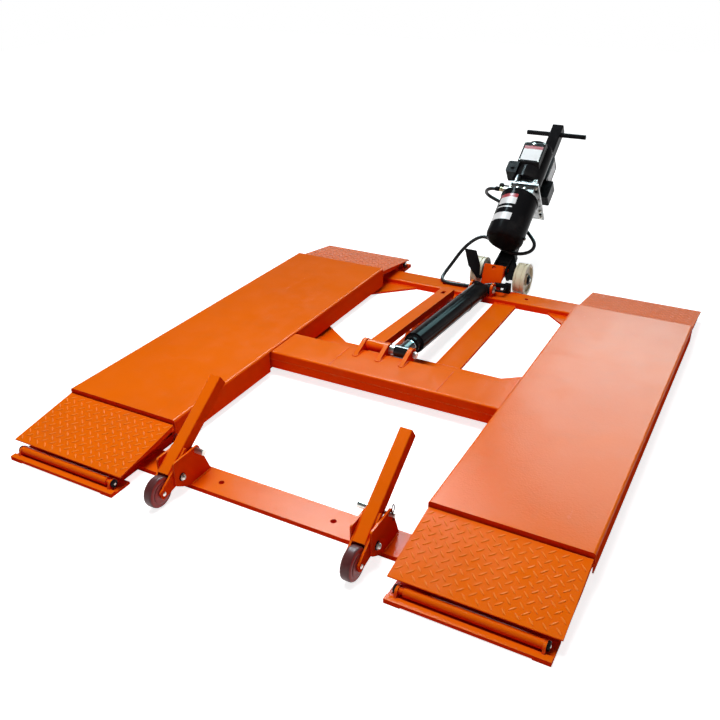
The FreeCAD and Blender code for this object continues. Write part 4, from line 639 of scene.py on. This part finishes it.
def tread(end, side):
    way, flip = ENDS[end], SIDES[side]
    reach = RAMP_REACH[end] - RAMP_GAP
    slope = math.atan2(RAMP_DROP, reach)
    start = Vector((0, DECK_EDGE[end] + way * RAMP_GAP, RAMP_TOP))
    outward = Vector((0, way * math.cos(slope), -math.sin(slope)))
    normal = Vector((0, way * math.sin(slope), math.cos(slope)))
    length = math.hypot(reach, RAMP_DROP)
    width = RAMP_OUTER - RAMP_INNER
    columns = int((width - 2 * TREAD_MARGIN) / TREAD_STEP)
    rows = int((length - 2 * TREAD_MARGIN) / TREAD_STEP)
    shape = Shape()
    for row in range(rows + 1):
        lean = BAR_LEAN if row % 2 else -BAR_LEAN
        along = X_AXIS * math.cos(lean) + outward * math.sin(lean)
        across = outward * math.cos(lean) - X_AXIS * math.sin(lean)
        for column in range(row % 2, columns + 1, 2):
            u = RAMP_INNER + (width - columns * TREAD_STEP) / 2 + column * TREAD_STEP
            v = (length - rows * TREAD_STEP) / 2 + row * TREAD_STEP
            centre = start + X_AXIS * (flip * u) + outward * v
            lozenge(shape, centre, along, across, normal, TREAD_HEIGHT[end])
    shape.piece(f"tread_{end}_{side}", f"{end}_ramp_{side}", "orange_paint", TREAD_LOOK[end])


for end in ENDS:
    for side in SIDES:
        tread(end, side)

STRIP_BOTTOM, STRIP_THICK = 0.0835, 0.0035


def hinge_strip(end, side):
    """Closing strip behind the lip of a deck, so that no light shows over the ramp hinge."""
    lip = DECK_EDGE[end]
    x0, x1 = sorted((SIDES[side] * RAMP_INNER, SIDES[side] * RAMP_OUTER))
    y0, y1 = sorted((lip, lip - ENDS[end] * STRIP_THICK))
    shape = Shape()
    shape.skin([
        [(x0, y0, z), (x1, y0, z), (x1, y1, z), (x0, y1, z)]
        for z in (STRIP_BOTTOM, RAMP_TOP)
    ])
    shape.piece(f"hinge_strip_{end}_{side}", f"deck_{side}", "orange_paint", smooth=False)


for end in ENDS:
    for side in SIDES:
        hinge_strip(end, side)

# Casters: each outline lists distance along its axis and radius
RIM_FACE, RIVET_FACE, CLIP_OUT = 0.0145, 0.0250, 0.009
CASTER_RIM = ((0, 0.0330), (0.0024, 0.0330), (0.0034, 0.0315), (0.0030, 0.0230), (0.0036, 0.0168))
RIVET_HEAD = ((0, 0.0070), (0.0006, 0.0070), (0.0020, 0.0045), (0.0024, 0.0010))
PIVOT_WASHER = ((0, 0.0125), (0.0016, 0.0125), (0.0020, 0.0118))
PIVOT_NUT_OUT = 0.005
PIVOT_NUT = ((0, 0.0080), (0.0025, 0.0078), (0.0048, 0.0062), (0.0064, 0.0036), (0.0070, 0.0010))
CLIP_WIRE, CLIP_HALF_WIDTH, CLIP_HALF_HEIGHT, CLIP_SPREAD = 0.0014, 0.0085, 0.0145, 0.0010
CLIP_STEPS, CLIP_TAIL_STEP = 24, 0.004
CLIP_TAIL_END = Vector((0.003, -0.003, -0.014))


def ring_clip(shape, x):
    """Spring wire through the tail of the lock pin: its ring stands above, its tail hangs below."""
    top = LOCK_PIN_Z + LOCK_PIN_R
    loop = []
    for i in range(CLIP_STEPS + 1):
        a = -math.pi / 2 + 2 * math.pi * i / CLIP_STEPS
        loop.append((
            x + CLIP_SPREAD * math.sin(a / 2),
            LOCK_PIN_Y + CLIP_HALF_WIDTH * math.cos(a),
            top + CLIP_HALF_HEIGHT * (1 + math.sin(a)),
        ))
    shape.tube(loop, CLIP_WIRE, count=8)
    foot = Vector((x, LOCK_PIN_Y, LOCK_PIN_Z)) + CLIP_TAIL_END
    shape.tube(steps((x, LOCK_PIN_Y, top), foot, CLIP_TAIL_STEP), CLIP_WIRE, count=8)


def caster_details():
    nuts, washers, clips = Shape(), Shape(), Shape()
    for side, x in CASTER_X.items():
        rims, rivets = Shape(), Shape()
        for way in SIDES.values():
            axis = (way, 0, 0)
            rims.lathe((x + way * RIM_FACE, CASTER_Y, CASTER_Z), axis, CASTER_RIM, count=40)
            rivets.lathe((x + way * RIVET_FACE, CASTER_Y, CASTER_Z), axis, RIVET_HEAD, count=20)
            cheek = x + way * CHEEK_OUT
            washers.lathe((cheek, CASTER_PIVOT_Y, CASTER_PIVOT_Z), axis, PIVOT_WASHER, count=32)
            nut = (x + way * (CHEEK_OUT + PIVOT_NUT_OUT), CASTER_PIVOT_Y, CASTER_PIVOT_Z)
            nuts.lathe(nut, axis, PIVOT_NUT, count=28)
        rims.piece(f"caster_core_{side}", f"caster_wheel_{side}", "maroon_tread")
        rivets.piece(f"caster_rivet_{side}", f"caster_lever_{side}", "zinc_steel")
        ring_clip(clips, x + SIDES[side] * (CHEEK_OUT + CLIP_OUT))
    nuts.piece("caster_pivot_nuts", "base", "zinc_steel")
    washers.piece("caster_pivot_washers", "base", "black_paint")
    clips.piece("caster_ring_clips", "base", "black_paint")


caster_details()

# Sill rollers: a black cap over the nut at each end, with a bright tip in it
SILL_ROLLERS_Y, SILL_ROLLER_Z = (-0.994, 0.985), 0.024
SILL_ROLLER_ENDS = {-1: 0.471, 1: 0.854}
SILL_TIP_OUT = 0.0064
SILL_CAP = ((0, 0.0125), (0.0056, 0.0125), (0.0070, 0.0115), (0.0070, 0.0056), (SILL_TIP_OUT, 0.0050))
SILL_TIP = ((0, 0.0046), (0.0016, 0.0046), (0.0022, 0.0040))


def sill_caps():
    caps, tips = Shape(), Shape()
    for y in SILL_ROLLERS_Y:
        for way in SIDES.values():
            for out, place in SILL_ROLLER_ENDS.items():
                axis = (way * out, 0, 0)
                caps.lathe((way * place, y, SILL_ROLLER_Z), axis, SILL_CAP, count=28)
                tip = way * (place + out * SILL_TIP_OUT)
                tips.lathe((tip, y, SILL_ROLLER_Z), axis, SILL_TIP, count=20)
    caps.piece("sill_roller_caps", "base", "black_plastic")
    tips.piece("sill_roller_tips", "base", "zinc_steel")


sill_caps()

# Trolley wheels: a black bearing cover, and over the axle nut a black cap with a bright tip
WHEEL_FACE, AXLE_NUT = 0.1251, 0.0070
BEARING = ((0, 0.0240), (0.0016, 0.0240), (0.0020, 0.0230), (0.0014, 0.0190))
CAP_EDGE, CAP_FLOOR = AXLE_NUT + 0.0012, AXLE_NUT + 0.0006
AXLE_CAP = (
    (0.0024, 0.0185), (AXLE_NUT, 0.0180), (CAP_EDGE, 0.0168), (CAP_EDGE, 0.0086), (CAP_FLOOR, 0.0080),
)
AXLE_TIP = ((0, 0.0072), (0.0024, 0.0072), (0.0032, 0.0060))


def wheel_bearings():
    caps, tips = Shape(), Shape()
    for side, way in SIDES.items():
        face = (TROLLEY_X + way * WHEEL_FACE, AXLE_Y, AXLE_Z)
        nut = (TROLLEY_X + way * (WHEEL_FACE + AXLE_NUT), AXLE_Y, AXLE_Z)
        bearing = Shape()
        bearing.lathe(face, (way, 0, 0), BEARING, count=28)
        bearing.piece(f"wheel_bearing_{side}", f"trolley_wheel_{side}", "black_plastic")
        caps.lathe(face, (way, 0, 0), AXLE_CAP, count=28)
        tips.lathe(nut, (way, 0, 0), AXLE_TIP, count=24)
    caps.piece("wheel_axle_caps", "trolley", "black_plastic")
    tips.piece("wheel_axle_tips", "trolley", "zinc_steel")


wheel_bearings()

# Labels without any print: name, heights up the post, angles round the tank, look
FILM = 0.0004
TANK_LABELS = (
    ("tank_label_upper", (0.236, 0.272), (-48, 12), "label_white"),
    ("tank_label_upper_band", (0.272, 0.291), (-48, 12), "label_red"),
    # Thin white band between the labels: label film that also stands in for the pale highlight streak
    # there, a painted highlight
    ("tank_label_and_highlight_band", (0.216, 0.222), (-46, 6), "label_white"),
    ("tank_label_lower", (0.150, 0.188), (-60, 14), "label_white"),
)
BOX_FACE, BOX_LABEL_HALF = 0.2140, 0.043
BOX_LABELS = (
    ("box_label", (0.489, 0.553), "label_white"),
    ("box_label_band", (0.553, 0.571), "label_red"),
)
PANEL_X, PANEL_F, PANEL_H = 0.0450, (0.016, -0.038), (0.560, 0.662)
LABEL_COLUMNS, LABEL_ROWS = 16, 4


def tank_label(name, heights, turns, look):
    """Film on the tank: angles in degrees from straight ahead, positive towards the right."""
    radius = TANK_R + FILM
    left, right = map(math.radians, turns)
    points, faces = [], []
    for j in range(LABEL_ROWS + 1):
        h = heights[0] + (heights[1] - heights[0]) * j / LABEL_ROWS
        for i in range(LABEL_COLUMNS + 1):
            a = left + (right - left) * i / LABEL_COLUMNS
            points.append(up(radius * math.sin(a), TANK_F + radius * math.cos(a), h))
    row = LABEL_COLUMNS + 1
    for j in range(LABEL_ROWS):
        for i in range(LABEL_COLUMNS):
            faces.append((j * row + i, j * row + i + 1, (j + 1) * row + i + 1, (j + 1) * row + i))
    shape = Shape()
    shape.add(points, faces)
    shape.piece(name, "trolley", "black_paint", look)


def flat_label(name, corners, look):
    shape = Shape()
    shape.add(corners, [(0, 1, 2, 3)])
    shape.piece(name, "trolley", "black_paint", look, smooth=False)


def make_labels():
    for label in TANK_LABELS:
        tank_label(*label)
    for name, (low, high), look in BOX_LABELS:
        corners = ((-1, low), (1, low), (1, high), (-1, high))
        flat_label(name, [up(way * BOX_LABEL_HALF, BOX_FACE + FILM, h) for way, h in corners], look)
    (near, far), (low, high) = PANEL_F, PANEL_H
    corners = ((near, low), (far, low), (far, high), (near, high))
    flat_label("side_label", [up(PANEL_X + FILM, f, h) for f, h in corners], "label_white")


make_labels()

# Power unit fittings: places are across, forward and up the post
BOX_SCREWS = ((-0.043, 0.486), (0.043, 0.486), (-0.043, 0.587), (0.043, 0.587))
BOX_SCREW = {"radius": 0.0035, "height": 0.003}
BLOCK_FACE = 0.182
BLOCK_SCREWS = ((-0.046, 0.335), (0.053, 0.335), (-0.046, 0.360), (0.053, 0.402))
BLOCK_SCREW = {"radius": 0.0045, "height": 0.005}
FLANGE_BOLTS, FLANGE_BOLT_RADIUS, FLANGE_TOP = 8, 0.0765, 0.322
FLANGE_BOLT = {"flat": 0.007, "height": 0.004}
TANK_PLUG_OUT, TANK_PLUG_H = 0.006, 0.118
TANK_PLUG = {"flat": 0.014, "height": 0.005}
STUD_AT = (-0.004, BOX_FACE + FILM, 0.582)
BOX_STUD = ((0, 0.0075), (0.0016, 0.0075), (0.0026, 0.0060))
PLATE_UNDER, PLATE_BOLT_X = 0.366, 0.066
PLATE_BOLTS_F, PLATE_PADS_F = (-0.030, 0.012, 0.178), (-0.009, 0.155)
PLATE_WASHER_THICK = 0.0016
PLATE_WASHER = ((0, 0.0085), (PLATE_WASHER_THICK, 0.0085), (0.0018, 0.0078))
PLATE_BOLT = {"flat": 0.011, "height": 0.006}
PLATE_PAD = ((0, 0.0070), (0.0040, 0.0065), (0.0048, 0.0050))
BLOCK_PLUGS = ((-0.030, 0.392), (0.022, 0.345), (-0.010, 0.345))
BLOCK_PLUG = {"flat": 0.019, "height": 0.007}
PLUG_STEM = ((BLOCK_PLUG["height"], 0.0065), (0.014, 0.0065), (0.015, 0.005))
VENT_RIBS, VENT_H, VENT_INNER, VENT_OUTER = 18, 0.619, 0.022, 0.050
VENT_RIB, VENT_STEP = 0.0022, 0.006


def unit_screws():
    steel = Shape()
    for x, h in BOX_SCREWS:
        socket_screw(steel, up(x, BOX_FACE, h), FORE_AXIS, **BOX_SCREW)
    for x, h in BLOCK_SCREWS:
        socket_screw(steel, up(x, BLOCK_FACE, h), FORE_AXIS, **BLOCK_SCREW)
    for a in angles(FLANGE_BOLTS, math.pi / FLANGE_BOLTS):
        x, f = FLANGE_BOLT_RADIUS * math.sin(a), TANK_F + FLANGE_BOLT_RADIUS * math.cos(a)
        hex_bolt(steel, up(x, f, FLANGE_TOP), UP_AXIS, **FLANGE_BOLT)
    hex_bolt(steel, up(TANK_R + TANK_PLUG_OUT, TANK_F, TANK_PLUG_H), X_AXIS, **TANK_PLUG)
    steel.lathe(up(*STUD_AT), FORE_AXIS, BOX_STUD, count=24)
    steel.piece("power_unit_screws", "trolley", "zinc_steel")


def mount_plate():
    bolts, pads = Shape(), Shape()
    for f in PLATE_BOLTS_F:
        bolts.lathe(up(PLATE_BOLT_X, f, PLATE_UNDER), -UP_AXIS, PLATE_WASHER, count=24)
        under = up(PLATE_BOLT_X, f, PLATE_UNDER - PLATE_WASHER_THICK)
        hex_bolt(bolts, under, -UP_AXIS, **PLATE_BOLT)
    for f in PLATE_PADS_F:
        pads.lathe(up(PLATE_BOLT_X, f, PLATE_UNDER), -UP_AXIS, PLATE_PAD, count=24)
    bolts.piece("mount_plate_bolts", "trolley", "zinc_steel")
    pads.piece("mount_plate_pads", "trolley", "black_plastic")


def block_plugs():
    plugs = Shape()
    for x, h in BLOCK_PLUGS:
        hex_bolt(plugs, up(x, BLOCK_FACE, h), FORE_AXIS, **BLOCK_PLUG)
        plugs.lathe(up(x, BLOCK_FACE, h), FORE_AXIS, PLUG_STEM, count=20)
    plugs.piece("block_plugs", "trolley", "zinc_steel")


def motor_vent():
    ribs = Shape()
    middle = up(0, TANK_F, VENT_H)
    for a in angles(VENT_RIBS):
        outward = X_AXIS * math.cos(a) + FORE_AXIS * math.sin(a)
        rib = steps(middle + outward * VENT_INNER, middle + outward * VENT_OUTER, VENT_STEP)
        ribs.tube(rib, VENT_RIB, count=8)
    ribs.piece("motor_vent_ribs", "trolley", "black_paint")


unit_screws()
mount_plate()
block_plugs()
motor_vent()

# Welds: sides, front and rear edges and tops of what the beads join
WELD_STEP, WELD_JITTER_SHARE, WELD_RIPPLE = 0.0028, 0.10, 0.16
FRAME_BEAD, CLEVIS_BEAD, SEAM_BEAD, BUTT_BEAD = 0.0032, 0.0036, 0.0017, 0.0016
RAIL_X = 0.480
FRONT_PLATE_Y, FRONT_PLATE_TOP = (-0.883, -0.781), 0.015
MID_PLATE_Y, MID_PLATE_TOP = (0.048, 0.150), 0.012
MEMBER_Y, MEMBER_TOP = (0.7795, 0.8845), 0.030
CHEEK_Y = (-0.878, -0.792)
GUSSET_TOP = 0.008
GUSSETS_Y, GUSSETS_X = ((0.270, 0.152), (0.622, 0.778)), ((0.316, 0.478), (0.308, 0.478))
TIE_TOP, TIE_BAR_X, RACK_X = 0.010, (0.067, 0.165), (-0.139, -0.081)
EAR_FACES, EAR_Y = (-0.053, -0.043, 0.043, 0.053), (0.782, 0.826)
HITCH_X, HITCH_Y = (-0.034, 0.058), 0.8545
CLEVIS_X, CLEVIS_HALF = (-0.150, -0.058, 0.035), 0.008
CLEVIS_Y, CLEVIS_TOE = (-0.088, -0.036), -0.089
SEAM_Y, SEAM_DROP, SEAM_MARGIN = -0.1935, 0.0312, 0.004
BUTT_X, BUTT_Y = (-0.200, 0.215), (-0.186, -0.036)


def along_x(ends, y, z):
    """Start and end of a run across the lift."""
    return [(x, y, z) for x in ends]


def along_y(x, ends, z):
    """Start and end of a run along the lift."""
    return [(x, y, z) for y in ends]


def welds(name, body, runs, radius=FRAME_BEAD):
    """Fillet beads along straight runs, one piece for one body."""
    shape = Shape()
    wander = radius * WELD_JITTER_SHARE
    for start, end in runs:
        jitter = [
            p + Vector([random.uniform(-1, 1) * wander for _ in range(3)])
            for p in steps(start, end, WELD_STEP)
        ]
        shape.tube(jitter, radius, count=8, ripple=WELD_RIPPLE)
    shape.piece(name, body, "orange_paint", "weld")


def frame_welds():
    runs = []
    for x in CASTER_X.values():
        runs += [along_y(x + way * CHEEK_OUT, CHEEK_Y, FRONT_PLATE_TOP) for way in SIDES.values()]
    for way in SIDES.values():
        runs.append(along_y(way * RAIL_X, FRONT_PLATE_Y, FRONT_PLATE_TOP))
        runs.append(along_y(way * RAIL_X, MID_PLATE_Y, MID_PLATE_TOP))
        runs.append(along_y(way * RAIL_X, MEMBER_Y, MEMBER_TOP))
    plate, member = MID_PLATE_Y[1], MEMBER_Y[0]
    for way in SIDES.values():
        runs += [along_y(way * RAIL_X, ends, GUSSET_TOP) for ends in GUSSETS_Y]
        for y, (inner, outer) in zip((plate, member), GUSSETS_X):
            runs.append(along_x((way * inner, way * outer), y, GUSSET_TOP))
    for ends in (TIE_BAR_X, RACK_X):
        runs += [along_x(ends, y, TIE_TOP) for y in (plate, member)]
    runs += [along_y(x, EAR_Y, MEMBER_TOP) for x in EAR_FACES]
    runs.append(along_x(HITCH_X, HITCH_Y, MEMBER_TOP))
    welds("frame_welds", "base", runs)


def beam_welds():
    runs = []
    for x in CLEVIS_X:
        faces = (x - CLEVIS_HALF, x + CLEVIS_HALF)
        runs += [along_y(face, CLEVIS_Y, BEAM_TOP) for face in faces]
        runs.append(along_x(faces, CLEVIS_TOE, BEAM_TOP))
    welds("clevis_welds", "arms_a", runs, CLEVIS_BEAD)
    seam = (SEAM_MARGIN - BEAM_HALF, BEAM_HALF - SEAM_MARGIN)
    welds("beam_seam_weld", "arms_a", [along_x(seam, SEAM_Y, BEAM_TOP - SEAM_DROP)], SEAM_BEAD)
    welds("beam_butt_welds", "arms_a", [along_y(x, BUTT_Y, BEAM_TOP) for x in BUTT_X], BUTT_BEAD)


frame_welds()
beam_welds()

# Light and surroundings
SKY_FILL, SKY_FILL_STRENGTH = (0.95, 0.97, 1.0, 1), 0.12
CEILING_START, CEILING_FULL, CEILING_GLOW = 0.06, 0.36, 0.04
FLOOR_HALF, FLOOR_DROP = 9.0, 0.0004
FLOOR_NEAR, FLOOR_FAR, FLOOR_GLOW = 1.8, 3.6, 0.80
FLOOR_GREY = (0.85, 0.85, 0.85, 1)
WHITE, COOL, COOL_LOW = (1, 1, 1), (0.70, 0.92, 1.0), (0.50, 0.94, 1.0)
LAMPS = (
    {
        "name": "top", "place": (-0.3, -0.6, 3.6), "target": (0.0, -0.1, 0.0),
        "size": 2.2, "power": 120, "glossy": False,
    },
    {
        "name": "sheen_low", "place": (0.3, 4.0, 2.6), "target": (0.6, 0.0, 0.1),
        "size": 2.3, "power": 135, "colour": COOL_LOW, "diffuse": False,
    },
    {
        "name": "sheen_high", "place": (-2.4, 4.0, 5.2), "target": (0.0, -0.8, 0.0),
        "size": 3.0, "power": 460, "colour": COOL, "diffuse": False,
    },
    {
        "name": "glint", "place": (-1.4, 1.4, 3.0), "target": (0.0, 1.2, 0.4),
        "size": 0.5, "power": 66, "colour": COOL, "diffuse": False,
    },
)


def area_light(name, place, target, size, power, colour=WHITE, diffuse=True, glossy=True):
    data = bpy.data.lights.new(name, "AREA")
    data.shape, data.size, data.energy, data.color = "DISK", size, power, colour
    light = bpy.data.objects.new(name, data)
    light.location = place
    light.rotation_euler = (Vector(target) - Vector(place)).to_track_quat("-Z", "Y").to_euler()
    light.visible_diffuse, light.visible_glossy = diffuse, glossy
    SCENE.collection.objects.link(light)


def make_world():
    """White to the camera; in mirrors white low down with a dim ceiling; an even fill for the rest."""
    world = bpy.data.worlds.new("studio")
    SCENE.world = world
    sky = Nodes(world)
    fill = sky.put(sky.node("ShaderNodeBackground"), Color=SKY_FILL, Strength=SKY_FILL_STRENGTH)
    height = sky.part(sky.coordinates("Generated"), "Z")
    ceiling = sky.ramp(height, CEILING_START, CEILING_FULL, to_low=1.0, to_high=CEILING_GLOW)
    camera = sky.node("ShaderNodeLightPath").outputs["Is Camera Ray"]
    white = sky.node("ShaderNodeBackground")
    sky.put(white, Color=(*WHITE, 1), Strength=sky.math("MAXIMUM", ceiling, camera))
    mixer = sky.node("ShaderNodeMixShader")
    out = sky.node("ShaderNodeOutputWorld")
    for value, socket in zip((sky.camera_or_mirror(), fill.outputs[0], white.outputs[0]), mixer.inputs):
        sky.feed(socket, value)
    sky.feed(out.inputs[0], mixer.outputs[0])


def make_floor():
    """Pale floor: white to the camera except where the object shades it."""
    look = Shader("floor")
    away = look.node("ShaderNodeVectorMath", operation="LENGTH")
    look.feed(away.inputs[0], look.place)
    level = look.ramp(away.outputs["Value"], FLOOR_NEAR, FLOOR_FAR, to_low=FLOOR_GLOW)
    look.put(
        look.bsdf, Base_Color=FLOOR_GREY, Roughness=0.9, Specular_IOR_Level=0.1,
        Emission_Color=(*WHITE, 1), Emission_Strength=look.times(look.camera_or_mirror(), level),
    )
    mesh = bpy.data.meshes.new("floor")
    corners = [(x * FLOOR_HALF, y * FLOOR_HALF, 0) for x, y in ((-1, -1), (1, -1), (1, 1), (-1, 1))]
    mesh.from_pydata(corners, [], [(0, 1, 2, 3)])
    mesh.materials.append(look.material)
    floor = bpy.data.objects.new("floor", mesh)
    floor.location.z = -FLOOR_DROP
    SCENE.collection.objects.link(floor)


make_world()
make_floor()
for lamp in LAMPS:
    area_light(**lamp)
SCENE.view_settings.view_transform = "Standard"
